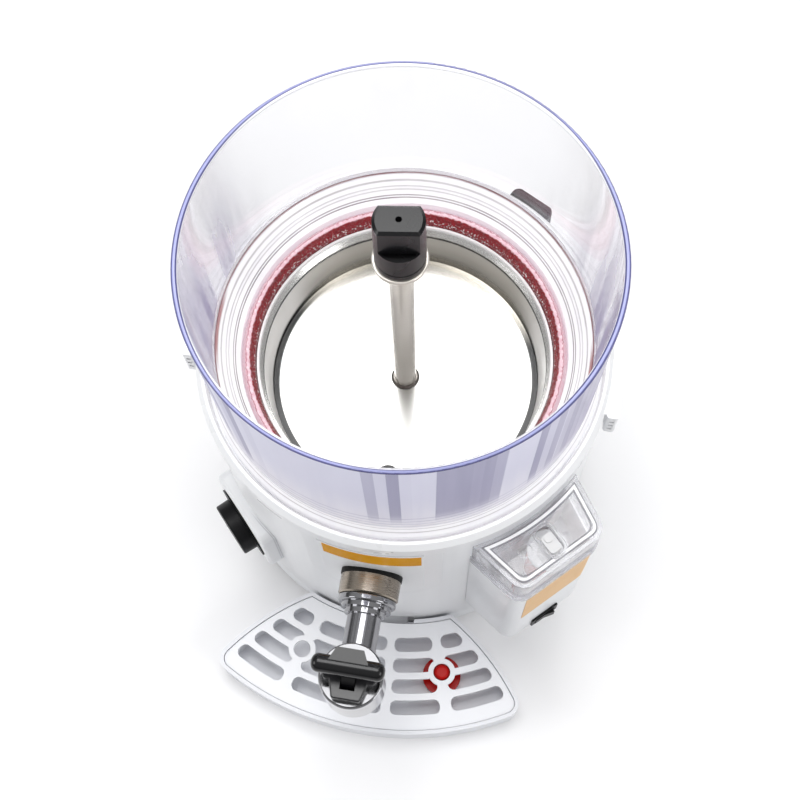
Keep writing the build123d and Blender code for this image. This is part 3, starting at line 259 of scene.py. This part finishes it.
def basin_steel(name):
    """Deep-drawn steel: a bright floor that greys with a painted reflection near the back wall, a wall
    coloured with painted reflections, warm at the back and at its sides dark low and pale high, and painted
    shade in crisp dark lines at its creases and at the floor's edge.
    """
    floor_top, floor_radius = 0.1692, 0.0805
    shoulder, lip, flange_radius = 0.1952, 0.2022, 0.0894
    brush_scale = 2600.0
    finish = Finish(name)
    place = finish.place()
    x, y, z = finish.parts_of(place)
    radius = (x * x + y * y) ** 0.5
    swept = finish.node("CombineXYZ", {}, {0: radius * brush_scale, 1: z * brush_scale, 2: x * 6.0 + y * 5.0})
    lines = finish.spread(finish.noise(swept, 1.0, 2.0), 0.0, 1.0)
    back = finish.step(y, 0.03, 0.068)
    # Painted reflections on the wall: at the sides dark low and pale high, pale above the shoulder, warm grey
    # at the back
    low_painted_light = finish.blend(back, (0.03, 0.03, 0.03), (0.46, 0.44, 0.4))
    high_painted_reflection = finish.blend(back, (0.97, 0.96, 0.935), (0.68, 0.65, 0.59))
    wall = finish.step(z, floor_top, floor_top + 0.002)
    slow_rise = finish.step(z, floor_top + 0.0028, shoulder - 0.0032)
    quick_rise = finish.step(z, floor_top + 0.0008, floor_top + 0.0022)
    wall_painted_light = finish.blend(back * slow_rise + (1.0 - back) * quick_rise, low_painted_light, high_painted_reflection)
    above_shoulder = finish.step(z, shoulder + 0.0006, shoulder + 0.0016)
    wall_painted_light = finish.blend(above_shoulder, wall_painted_light, (0.86, 0.85, 0.84))
    # Painted shade: dark lines in the shoulder crease and under the lip
    painted_crease_shade = finish.ridge(z, shoulder, 0.0014) + finish.step(z, lip, lip + 0.0012)
    wall_painted_light = finish.blend(painted_crease_shade, wall_painted_light, (0.02, 0.02, 0.025))
    # Painted reflection of the wall: the floor greys towards the back wall
    shade = finish.step(radius, floor_radius - 0.0145, floor_radius + 0.0005) * back
    floor_tint_and_painted_reflection = finish.blend(0.6 * shade, (0.46, 0.46, 0.45), (0.34, 0.32, 0.29))
    # Painted shade: a dark line where the floor meets the wall, warm grey at the back
    low = finish.step(z, floor_top + 0.0006, floor_top + 0.0024, 1.0, 0.0)
    foot = finish.step(radius, floor_radius, floor_radius + 0.001) * low
    tint = finish.blend(foot, finish.blend(wall, floor_tint_and_painted_reflection, wall_painted_light), low_painted_light)
    flange = finish.step(radius, flange_radius, flange_radius + 0.0005)
    # A band of the wall is made less metal so that its painted reflections show
    painted_reflection_band = finish.step(z, floor_top + 0.0013, floor_top + 0.0053 + 0.0055 * back)
    painted_reflection_band = painted_reflection_band * finish.step(z, shoulder - 0.0012, shoulder - 0.0002, 1.0, 0.0)
    surface = finish.shade(
        Base_Color=finish.blend(flange, tint, (0.86, 0.85, 0.86)),
        Metallic=1.0 - flange - (0.95 - 0.5 * back) * painted_reflection_band,
        Roughness=0.2 + wall * finish.spread(lines, -0.04, 0.04),
    )
    return finish.close(surface)


def bowl_plastic(name):
    """Clear bowl: a violet rim, lilac blocks of painted reflection on its near wall, and fine dark and red
    lines of painted reflection and shade round a white foot with a painted glow.
    """
    rim_radius, rim_low = 0.12, 0.3382
    waist_low, waist_high = 0.2305, 0.2335
    both_sides_lines = ((0.2285, 0.0009, 0.65), (0.2255, 0.0007, 0.5))
    near_line_levels = (0.2345, 0.2395, 0.245, 0.251)
    inner_lines = ((0.2196, 1.0), (0.2209, 0.9), (0.2238, 0.5))
    top_line, wedge_level, seat_gap_top = 0.2324, 0.2312, 0.2142
    finish = Finish(name)
    place = finish.place()
    x, y, height = finish.parts_of(place)
    radius = (x * x + y * y) ** 0.5
    turn = x.math("ARCTAN2", x, y * -1.0)

    def blocks(per_radian):
        """Upright blocks round the bowl, each with its own value."""
        cell = turn.math("FLOOR", turn * per_radian)
        return finish.node("TexWhiteNoise", {"noise_dimensions": "1D"}, {"W": cell}, "Value")

    upright = finish.stretched(place, (130.0, 130.0, 6.0))
    streaks = finish.spread(finish.noise(upright, 1.0, 2.0), 0.0, 1.0)
    clear = finish.shade(
        Base_Color=(0.985, 0.985, 1.0),
        Roughness=finish.spread(streaks, 0.0, 0.02),
        IOR=1.4,
        Transmission_Weight=1.0,
    )
    open_air = finish.node("BsdfTransparent", {}, {"Color": (0.985, 0.985, 0.99, 1.0)})

    front = finish.step(y, -0.09, 0.0, 1.0, 0.0)
    inside = finish.step(radius, 0.1152, 0.1164, 1.0, 0.0)
    pale_tint = finish.blend(finish.step(height, 0.235, 0.3), (0.97, 0.95, 0.99), (0.69, 0.69, 0.83))
    pale_wall = finish.milky(finish.blend(0.3 * streaks, pale_tint, (0.6, 0.6, 0.76)), (0.78, 0.78, 0.9))
    # Painted reflections: darker lilac blocks on the near wall
    dark_painted_reflection = finish.blend(streaks, (0.28, 0.27, 0.42), (0.2, 0.19, 0.33))
    painted_reflection_wall = finish.milky(dark_painted_reflection, (0.34, 0.33, 0.48))
    painted_reflection_blocks = finish.step(0.6 * blocks(6.3) + 0.4 * blocks(19.0), 0.35, 0.75)
    painted_reflection_blocks = painted_reflection_blocks * finish.step(height, 0.236, 0.262)
    near_wall = finish.layer(0.75 * painted_reflection_blocks, pale_wall, painted_reflection_wall)
    wisps = finish.spread(finish.noise(finish.stretched(place, (55.0, 55.0, 4.0)), 1.0, 3.0), 0.0, 1.0)
    side_tint = finish.blend(wisps, (0.5, 0.46, 0.62), (0.22, 0.19, 0.32))
    side_wall = finish.milky(side_tint, (0.44, 0.41, 0.58))
    sides = (0.28 + 0.85 * wisps) * finish.step(height, 0.25, 0.34, 1.0, 0.45)
    sides = sides * finish.step(y, 0.02, 0.08, 1.0, 0.2)
    amount = front * 0.995 + (1.0 - front) * sides
    haze = finish.step(finish.facing(), 0.5, 0.72) * finish.step(height, 0.226, 0.242) * amount
    hazed = finish.layer(haze, clear, finish.layer(front, side_wall, near_wall))

    foot_tint = finish.blend(streaks, (0.97, 0.965, 0.98), (0.92, 0.91, 0.95))
    # Painted glow: the white foot gives off a little light of its own
    foot = finish.shade(
        Base_Color=foot_tint,
        Roughness=0.3,
        Specular_IOR_Level=0.3,
        Emission_Color=(0.96, 0.95, 1.0),
        Emission_Strength=0.15,
    )
    fading = finish.step(height, waist_high, waist_high + 0.0185, 0.35, 0.0)
    low_front = front * finish.step(height, waist_low, waist_high) * fading
    veil = finish.step(height, waist_low, waist_high, 0.85, 0.0) + low_front
    footed = finish.layer(veil, hazed, foot)

    broken = finish.spread(finish.noise(finish.stretched(place, (22.0, 22.0, 90.0)), 1.0), 0.65, 1.0)
    # Painted reflection and shade: fine dark, grey and red lines round the foot
    lines = finish.ridge(height, top_line, 0.0009) * inside
    for level, half, strength in both_sides_lines:
        lines = lines + finish.ridge(height, level, half) * strength
    for level in near_line_levels:
        lines = lines + finish.ridge(height, level, 0.0015) * 0.5 * front * (1.0 - inside)
    for level, strength in inner_lines:
        lines = lines + finish.ridge(height, level, 0.0006) * strength * inside
    # Painted shade: a grey band on the outer foot down in the seat's gap
    gap_band = finish.step(height, seat_gap_top - 0.0012, seat_gap_top, 1.0, 0.0) * (1.0 - inside)
    # Painted red reflections of the gasket on the inner foot
    beside_middle = finish.step(y, -0.045, -0.02) * finish.step(y, 0.0, 0.02, 1.0, 0.0)
    gasket_reflection_wedges = finish.ridge(height, wedge_level, 0.0014) * beside_middle * inside
    painted_lines_tint = finish.blend(finish.step(height, 0.2295, 0.2325), (0.16, 0.11, 0.13), (0.33, 0.31, 0.47))
    painted_lines_tint = finish.blend(inside * finish.step(height, 0.2298, 0.231), painted_lines_tint, (0.2, 0.06, 0.07))
    painted_lines_tint = finish.blend(gap_band, painted_lines_tint, (0.4, 0.42, 0.5))
    painted_lines_tint = finish.blend(gasket_reflection_wedges, painted_lines_tint, (0.3, 0.015, 0.015))
    painted_lines_shader = finish.shade(Base_Color=painted_lines_tint, Roughness=0.35, Specular_IOR_Level=0.1)
    lined = finish.layer(lines * broken + 0.7 * gap_band + 0.8 * gasket_reflection_wedges, footed, painted_lines_shader)

    rim_width = 0.0034 - 0.0012 * finish.step(y * y, 0.0004, 0.01)
    across = (radius - rim_radius) / rim_width + 1.0
    rim_tint = finish.blend(finish.step(across, 0.0, 0.08), (0.93, 0.93, 0.98), (0.1, 0.1, 0.25))
    rim_tint = finish.blend(finish.step(across, 0.24, 0.36), rim_tint, (0.42, 0.44, 0.76))
    rim_tint = finish.blend(finish.step(across, 0.62, 0.76), rim_tint, (0.12, 0.12, 0.3))
    rim = finish.shade(Base_Color=rim_tint, Roughness=0.15, Specular_IOR_Level=0.3)
    rimmed = finish.layer(finish.step(height, rim_low, rim_low + 0.0008), lined, rim)
    lit = finish.layer(finish.ray("Shadow"), rimmed, open_air)
    return finish.close(finish.layer(finish.ray("Diffuse"), lit, open_air))


def lid_plastic(name):
    """Clear lid with a smudged grey cast, dark lines of painted shade at its ribs and edge, and a bright bead
    with a painted highlight.
    """
    taper, side_start, lid_face, lid_back = 0.1818, 0.0596, 0.16, 0.1278
    top_level, first_rib, rib_pitch, rib_count = 0.2036, 0.1713, 0.0036, 4
    finish = Finish(name)
    place = finish.place()
    x, y, height = finish.parts_of(place)
    smudge = finish.spread(finish.noise(place, 120.0, 4.0), 0.0, 1.0)
    clear = finish.shade(
        Base_Color=(0.97, 0.972, 0.98),
        Roughness=finish.spread(smudge, 0.0, 0.03),
        IOR=1.4,
        Transmission_Weight=1.0,
    )
    open_air = finish.node("BsdfTransparent", {}, {"Color": (0.97, 0.97, 0.98, 1.0)})
    grey = finish.milky(finish.blend(smudge, (0.86, 0.86, 0.88), (0.7, 0.7, 0.73)), (0.9, 0.9, 0.92))
    edge_on = finish.step(finish.facing(), 0.5, 0.75)
    hazed = finish.layer(0.14 + 0.16 * smudge + 0.04 * edge_on, clear, grey)

    out = (x - y) * math.sqrt(0.5)
    along = (x + y) * math.sqrt(0.5)
    from_side = (side_start - taper * out - along.math("ABSOLUTE", along)) / math.hypot(1.0, taper)
    from_edge = from_side.math("SMOOTH_MIN", from_side, lid_face - out, 0.009)
    from_back = (x * x + y * y) ** 0.5 - lid_back
    from_edge = from_edge.math("SMOOTH_MIN", from_edge, from_back, 0.001)
    top = finish.step(height, top_level, top_level + 0.0003)
    top = top * finish.step(height, top_level + 0.002, top_level + 0.0024, 1.0, 0.0)
    bead = top * finish.step(height, top_level + 0.0006, top_level + 0.001)
    # Painted highlight along the top of the bead
    painted_highlight_tint = finish.blend(smudge, (0.95, 0.95, 0.96), (0.85, 0.85, 0.87))
    shine = finish.shade(Base_Color=painted_highlight_tint, Roughness=0.15)
    beaded = finish.layer(0.7 * bead, hazed, shine)
    # Painted shade: dark lines beside the bead, under the top edge, above the top and at the ribs
    lines = top * (finish.ridge(from_edge, 0.0026, 0.0007) + finish.ridge(from_edge, 0.0054, 0.0007)) * 0.85
    lines = lines + finish.ridge(height, top_level - 0.0006, 0.0011) * 0.85
    lines = lines + finish.step(height, top_level + 0.0024, top_level + 0.0028, 0.0, 0.15)
    for rib in range(rib_count):
        lines = lines + finish.ridge(height, first_rib + rib_pitch * rib, 0.0008) * 0.55
    painted_shade_shader = finish.shade(
        Base_Color=finish.blend(smudge, (0.1, 0.1, 0.12), (0.06, 0.06, 0.08)),
        Roughness=0.2,
        Specular_IOR_Level=0.3,
    )
    lit = finish.layer(finish.ray("Shadow"), finish.layer(lines, beaded, painted_shade_shader), open_air)
    return finish.close(finish.layer(finish.ray("Diffuse"), lit, open_air))


def silicone(name):
    """Dark red silicone with a dark inner edge and a row of pale bubbles, faded pink outside."""
    inner_edge, bubble_row, pink_from, outer_line = 0.0904, 0.0923, 0.0946, 0.0974
    finish = Finish(name)
    place = finish.place()
    x, y, _ = finish.parts_of(place)
    radius = (x * x + y * y) ** 0.5
    mottle = finish.spread(finish.noise(place, 420.0, 4.0), 0.0, 1.0)
    edge = radius + 0.0009 * mottle
    red = finish.blend(mottle, (0.34, 0.03, 0.04), (0.19, 0.014, 0.02))
    pink = finish.blend(mottle, (0.85, 0.66, 0.72), (0.7, 0.4, 0.47))
    tint = finish.blend(finish.step(edge, pink_from, pink_from + 0.0009), red, pink)
    tint = finish.blend(finish.ridge(edge, outer_line, 0.0005) * 0.8, tint, (0.3, 0.05, 0.07))
    bubbles = finish.step(finish.noise(place, 700.0, 1.0), 0.58, 0.66)
    row = finish.ridge(radius, bubble_row, 0.0008)
    tint = finish.blend(bubbles * (0.06 + 0.9 * row), tint, (0.9, 0.84, 0.85))
    tint = finish.blend(finish.ridge(radius, inner_edge, 0.0005) * 0.85, tint, (0.03, 0.015, 0.02))
    surface = finish.shade(
        Base_Color=tint,
        Roughness=finish.spread(mottle, 0.2, 0.42),
        Specular_IOR_Level=0.35,
        Normal=finish.relief(mottle, 0.0003),
    )
    return finish.close(surface)


def shell_plastic(name, pale, deep):
    """White moulded shell, with painted shade in darker lines on the steps round its front panel."""
    inner_step, outer_step = 0.1265, 0.1276
    finish = Finish(name)
    place = finish.place()
    x, y, height = finish.parts_of(place)
    radius = (x * x + y * y) ** 0.5
    tint = finish.blend(finish.spread(finish.noise(place, 9.0), 0.0, 1.0), pale, deep)
    # Painted shade: darker lines on the steps round the front panel
    steps = finish.ridge(radius, inner_step, 0.0006) + finish.ridge(radius, outer_step, 0.0007)
    steps = 0.6 * steps * finish.step(y, -0.1, -0.09, 1.0, 0.0) * finish.step(height, 0.03, 0.04)
    surface = finish.shade(
        Base_Color=finish.blend(steps, tint, (0.4, 0.41, 0.44)),
        Roughness=finish.spread(finish.noise(place, 25.0), 0.285, 0.315),
    )
    return finish.close(surface)


finishes = {
    "white_body": moulded("white_body", (0.82, 0.83, 0.85), (0.79, 0.80, 0.825), 0.3),
    "white_shell": shell_plastic("white_shell", (0.87, 0.88, 0.895), (0.845, 0.855, 0.875)),
    "white_ring": moulded("white_ring", (0.86, 0.865, 0.88), (0.83, 0.84, 0.86), 0.28),
    "white_tray": moulded("white_tray", (0.83, 0.84, 0.87), (0.81, 0.82, 0.855), 0.36),
    "tray_grey": moulded("tray_grey", (0.76, 0.77, 0.805), (0.74, 0.75, 0.79), 0.36),
    "white_tab": moulded("white_tab", (0.62, 0.62, 0.625), (0.58, 0.58, 0.585), 0.4),
    "gloss_black": moulded("gloss_black", (0.007, 0.007, 0.008), (0.004, 0.004, 0.005), 0.2, 0.35),
    "bonnet_black": moulded("bonnet_black", (0.02, 0.02, 0.022), (0.015, 0.015, 0.017), 0.24, 0.5),
    "satin_black": moulded("satin_black", (0.008, 0.008, 0.009), (0.005, 0.005, 0.006), 0.27, 0.4),
    "black_plastic": grained("black_plastic", (0.007, 0.007, 0.008), (0.004, 0.004, 0.005), 0.42, 0.00003),
    "black_rubber": grained("black_rubber", (0.007, 0.007, 0.007), (0.004, 0.004, 0.004), 0.6, 0.00006),
    "red_plastic": moulded("red_plastic", (0.5, 0.006, 0.004), (0.42, 0.005, 0.004), 0.25, 0.12),
    "inner_plastic": moulded("inner_plastic", (0.55, 0.53, 0.47), (0.5, 0.48, 0.42), 0.45),
    "motor_paint": grained("motor_paint", (0.12, 0.13, 0.14), (0.1, 0.105, 0.115), 0.42, 0.00005),
    "red_silicone": silicone("red_silicone"),
    "chrome": plated("chrome", (0.42, 0.42, 0.44), 0.08),
    "nut_chrome": plated("nut_chrome", (0.3, 0.3, 0.315), 0.1),
    "soft_chrome": plated("soft_chrome", (0.14, 0.14, 0.145), 0.12),
    "drawn_chrome": brushed("drawn_chrome", (0.33, 0.33, 0.35), 0.16, (1500.0, 8.0, 1500.0), 0.6),
    "satin_nickel": brushed("satin_nickel", (0.36, 0.315, 0.265), 0.25, (9.0, 2600.0, 9.0)),
    "basin_steel": basin_steel("basin_steel"),
    "post_steel": plated("post_steel", (0.8, 0.75, 0.685), 0.13, 0.65),
    "dark_steel": plated("dark_steel", (0.15, 0.14, 0.13), 0.2),
    "inner_steel": brushed("inner_steel", (0.6, 0.6, 0.6), 0.35, (600.0, 30.0, 30.0)),
    "bush_brass": plated("bush_brass", (0.72, 0.52, 0.22), 0.22),
    "clear_bowl": bowl_plastic("clear_bowl"),
    "clear_lid": lid_plastic("clear_lid"),
}

wearing = {
    "white_body": ["filler_box"],
    "white_shell": ["body_shell"],
    "white_ring": ["body_ring"],
    "white_tray": ["drip_grille"],
    "tray_grey": ["drip_tray"],
    "white_tab": ["float_head"],
    "gloss_black": ["tap_lever"],
    "bonnet_black": ["tap_bonnet"],
    "satin_black": ["drive_cap"],
    "black_plastic": ["dial_knob", "dial_plate", "switch_frame", "switch_rocker", "cord_inlet", "cord_gland"],
    "black_rubber": ["tap_gasket", "rubber_feet", "plunger_seal"],
    "red_plastic": ["tray_float", "level_float"],
    "inner_plastic": ["thermostat_body", "terminal_block", "thermal_cutout", "filler_tube", "dial_spindle"],
    "motor_paint": ["motor_can", "gear_case"],
    "red_silicone": ["bowl_gasket"],
    "chrome": ["tap_head", "lever_pin"],
    "nut_chrome": ["tap_nut"],
    "soft_chrome": ["tap_cap"],
    "drawn_chrome": ["tap_pipe"],
    "satin_nickel": ["tap_collar"],
    "basin_steel": ["steel_basin"],
    "post_steel": ["centre_tube", "drive_shaft", "tube_flange"],
    "dark_steel": ["tube_collar"],
    "inner_steel": [
        "base_plate", "base_screws", "water_bath", "heater_ring", "outlet_tube", "motor_bracket",
        "bracket_spacers", "motor_output", "motor_coupler", "plunger",
    ],
    "bush_brass": ["upper_bush", "lower_bush"],
    "clear_bowl": ["bowl"],
    "clear_lid": ["filler_lid"],
}

for finish_name, wearers in wearing.items():
    for node_name in wearers:
        mesh = nodes[node_name].data
        mesh.materials.clear()
        mesh.materials.append(finishes[finish_name])


def outward(azimuth):
    """Level direction at an azimuth in degrees, counted from the front towards the right."""
    angle = math.radians(azimuth)
    return Vector((math.sin(angle), -math.cos(angle), 0.0))


def sticker(name, node_name, rows, thickness, material):
    """A thin sheet laid on a node: each row holds (start, direction) rays that find the surface."""
    target = nodes[node_name]
    mesh = bmesh.new()
    grid = []
    for row in rows:
        line = []
        for start, direction in row:
            found, spot, normal, _ = target.ray_cast(start, direction)
            if not found:
                raise ValueError(f"{name} misses {node_name} from {tuple(start)}")
            line.append(mesh.verts.new(spot + normal * thickness))
        grid.append(line)
    for low, high in zip(grid, grid[1:]):
        for near in range(len(low) - 1):
            mesh.faces.new((low[near], low[near + 1], high[near + 1], high[near]))
    mesh.normal_update()
    data = bpy.data.meshes.new(name)
    mesh.to_mesh(data)
    mesh.free()
    data.materials.append(material)
    piece = bpy.data.objects.new(name, data)
    bpy.context.collection.objects.link(piece)
    skin = piece.modifiers.new("thickness", "SOLIDIFY")
    skin.thickness = thickness
    skin.offset = -0.6
    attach(piece, "machine")
    return piece


def printed(name, tint, faded):
    """Coated paper with a slow fade of its colour."""
    finish = Finish(name)
    place = finish.place()
    fade = finish.spread(finish.noise(place, 45.0), 0.0, 1.0)
    surface = finish.shade(
        Base_Color=finish.blend(fade, tint, faded),
        Roughness=finish.spread(finish.noise(place, 300.0), 0.3, 0.42),
        Specular_IOR_Level=0.02,
    )
    return finish.close(surface)


# The strip and the patch are laid on by rays that run inwards from outside the machine
ray_start = 0.2
strip_low, strip_tall, strip_left, strip_sweep = 0.1855, 0.0185, -12.9, 26.8
amber_rows = []
for row in range(9):
    height = Vector((0, 0, strip_low + strip_tall * row / 8))
    ways = [outward(strip_left + strip_sweep * step / 28) for step in range(29)]
    amber_rows.append([(ray_start * way + height, -way) for way in ways])
amber = printed("amber_strip", (0.77, 0.36, 0.015), (0.7, 0.31, 0.01))
sticker("panel_strip", "body_shell", amber_rows, 0.00025, amber)

box_out = outward(45)
box_along = Vector((-box_out.y, box_out.x, 0.0))
patch_low, patch_tall, patch_left, patch_wide = 0.107, 0.058, -0.0237, 0.0517
peach_rows = []
for row in range(9):
    corner = ray_start * box_out + Vector((0, 0, patch_low + patch_tall * row / 8))
    shifts = [patch_left + patch_wide * step / 16 for step in range(17)]
    peach_rows.append([(corner + shift * box_along, -box_out) for shift in shifts])
peach = printed("peach_patch", (0.83, 0.55, 0.29), (0.8, 0.52, 0.27))
sticker("box_patch", "filler_box", peach_rows, 0.00025, peach)


def coil(name, low, high, wire, turns, material):
    """A round-wire spring that fills a box: its end turns lie flat, its middle turns climb."""
    centre = (Vector(low) + Vector(high)) / 2
    radius = (high[0] - low[0]) / 2 - wire
    rise = high[2] - low[2] - 2 * wire
    steps, around, flat_end = 36 * turns, 10, 0.06
    mesh = bmesh.new()
    rings = []
    for step in range(steps + 1):
        angle = 2 * math.pi * turns * step / steps
        climb = min(max((step / steps - flat_end) / (1 - 2 * flat_end), 0.0), 1.0)
        out = Vector((math.cos(angle), math.sin(angle), 0.0))
        middle = Vector((centre.x, centre.y, low[2] + wire + rise * climb)) + radius * out
        ring = []
        for side in range(around):
            turn = 2 * math.pi * side / around
            across = math.cos(turn) * out + math.sin(turn) * Vector((0, 0, 1))
            ring.append(mesh.verts.new(middle + wire * across))
        rings.append(ring)
    for first, second in zip(rings, rings[1:]):
        for side in range(around):
            after = (side + 1) % around
            mesh.faces.new((first[side], second[side], second[after], first[after]))
    mesh.faces.new(rings[0])
    mesh.faces.new(rings[-1][::-1])
    bmesh.ops.recalc_face_normals(mesh, faces=mesh.faces)
    for face in mesh.faces:
        face.smooth = len(face.verts) == 4
    data = bpy.data.meshes.new(name)
    mesh.to_mesh(data)
    mesh.free()
    data.materials.append(material)
    piece = bpy.data.objects.new(name, data)
    bpy.context.collection.objects.link(piece)
    return piece


# The plunger pushes the spring's lower end up against the cap; here a round-wire coil fills the tap spring's
# box and takes its place
spring_low, spring_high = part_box("tap_spring")
wire_radius, spring_turns, lift_room = 0.0007, 7, 0.0062
spring = coil("tap_coil", spring_low, spring_high, wire_radius, spring_turns, finishes["inner_steel"])
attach(spring, "machine")
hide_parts("tap_spring")
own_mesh(spring)


# Floor, light and camera
floor_mesh = bmesh.new()
bmesh.ops.create_circle(floor_mesh, cap_ends=True, segments=96, radius=4.0)
floor_data = bpy.data.meshes.new("floor")
floor_mesh.to_mesh(floor_data)
floor_mesh.free()
floor = bpy.data.objects.new("floor", floor_data)
floor.location = (0, 0, -0.0005)
bpy.context.collection.objects.link(floor)

ground = Finish("studio_floor")
seen = ground.ray("Camera") + ground.ray("Glossy") + ground.ray("Transmission")
matte = ground.node("BsdfDiffuse", {}, {"Color": (0.84, 0.84, 0.85, 1.0)})
glow = ground.node("Emission", {}, {"Color": (1.0, 1.0, 1.0, 1.0), "Strength": 0.1})
lifted = ground.node("AddShader", {}, {0: matte, 1: glow})
spot_x, spot_y, _ = ground.parts_of(ground.place())
white_from, white_to = 0.4, 1.2
away = ground.step((spot_x * spot_x + spot_y * spot_y) ** 0.5, white_from, white_to)
paper_sheet = ground.node("Emission", {}, {"Color": (1.0, 1.0, 1.0, 1.0), "Strength": 1.0})
lifted = ground.layer(away, lifted, paper_sheet)
floor_data.materials.append(ground.close(ground.layer(seen, matte, lifted)))

world = bpy.data.worlds.new("studio")
bpy.context.scene.world = world
world.use_nodes = True
sky = Tree(world.node_tree)
up = sky.parts_of(sky.node("TexCoord", output="Generated"))[2]
stops = [(0.0, 0.9), (0.5, 0.22), (0.6, 0.3), (0.72, 0.85), (1.0, 1.0)]
walls = sky.node("ValToRGB", {"stops": stops}, {0: up * 0.5 + 0.5})
room = sky.node("Background", {}, {"Color": walls, "Strength": 0.6})
paper = sky.node("Background", {}, {"Color": (1.0, 1.0, 1.0, 1.0), "Strength": 1.0})
shown = sky.layer(sky.ray("Camera") + sky.ray("Transmission"), room, paper)
sky_end = world.node_tree.nodes.new("ShaderNodeOutputWorld")
world.node_tree.links.new(shown.socket, sky_end.inputs["Surface"])


def softbox(name, spot, aim, size, power):
    """A square soft lamp that faces a point."""
    lamp = bpy.data.lights.new(name, "AREA")
    lamp.shape = "SQUARE"
    lamp.size = size
    lamp.energy = power
    holder = bpy.data.objects.new(name, lamp)
    holder.location = spot
    holder.rotation_euler = (Vector(aim) - Vector(spot)).to_track_quat("-Z", "Y").to_euler()
    bpy.context.collection.objects.link(holder)


softbox("overhead", (-0.12, 0.34, 1.9), (0, -0.05, 0.1), 1.0, 19.0)
softbox("left_side", (-1.6, -0.7, 1.0), (0, 0, 0.15), 0.8, 8.0)
softbox("right_side", (1.5, -0.7, 1.1), (0, 0, 0.15), 0.8, 9.0)

camera_data = bpy.data.cameras.new("camera")
camera_data.sensor_width = 36.0
camera_data.lens = 58.5
camera_data.clip_start = 0.01
camera = bpy.data.objects.new("camera", camera_data)
camera_place = (0.0639, -0.306, 0.9447)
right = Vector((0.9859, 0.1661, -0.0202))
ahead = Vector((-0.0779, 0.3487, -0.934)).normalized()
right = (right - ahead * right.dot(ahead)).normalized()
upward = right.cross(ahead)
turn = Matrix((right, upward, -ahead)).transposed()
camera.matrix_world = Matrix.Translation(camera_place) @ turn.to_4x4()
bpy.context.collection.objects.link(camera)
bpy.context.scene.camera = camera
bpy.context.scene.view_settings.view_transform = "Standard"
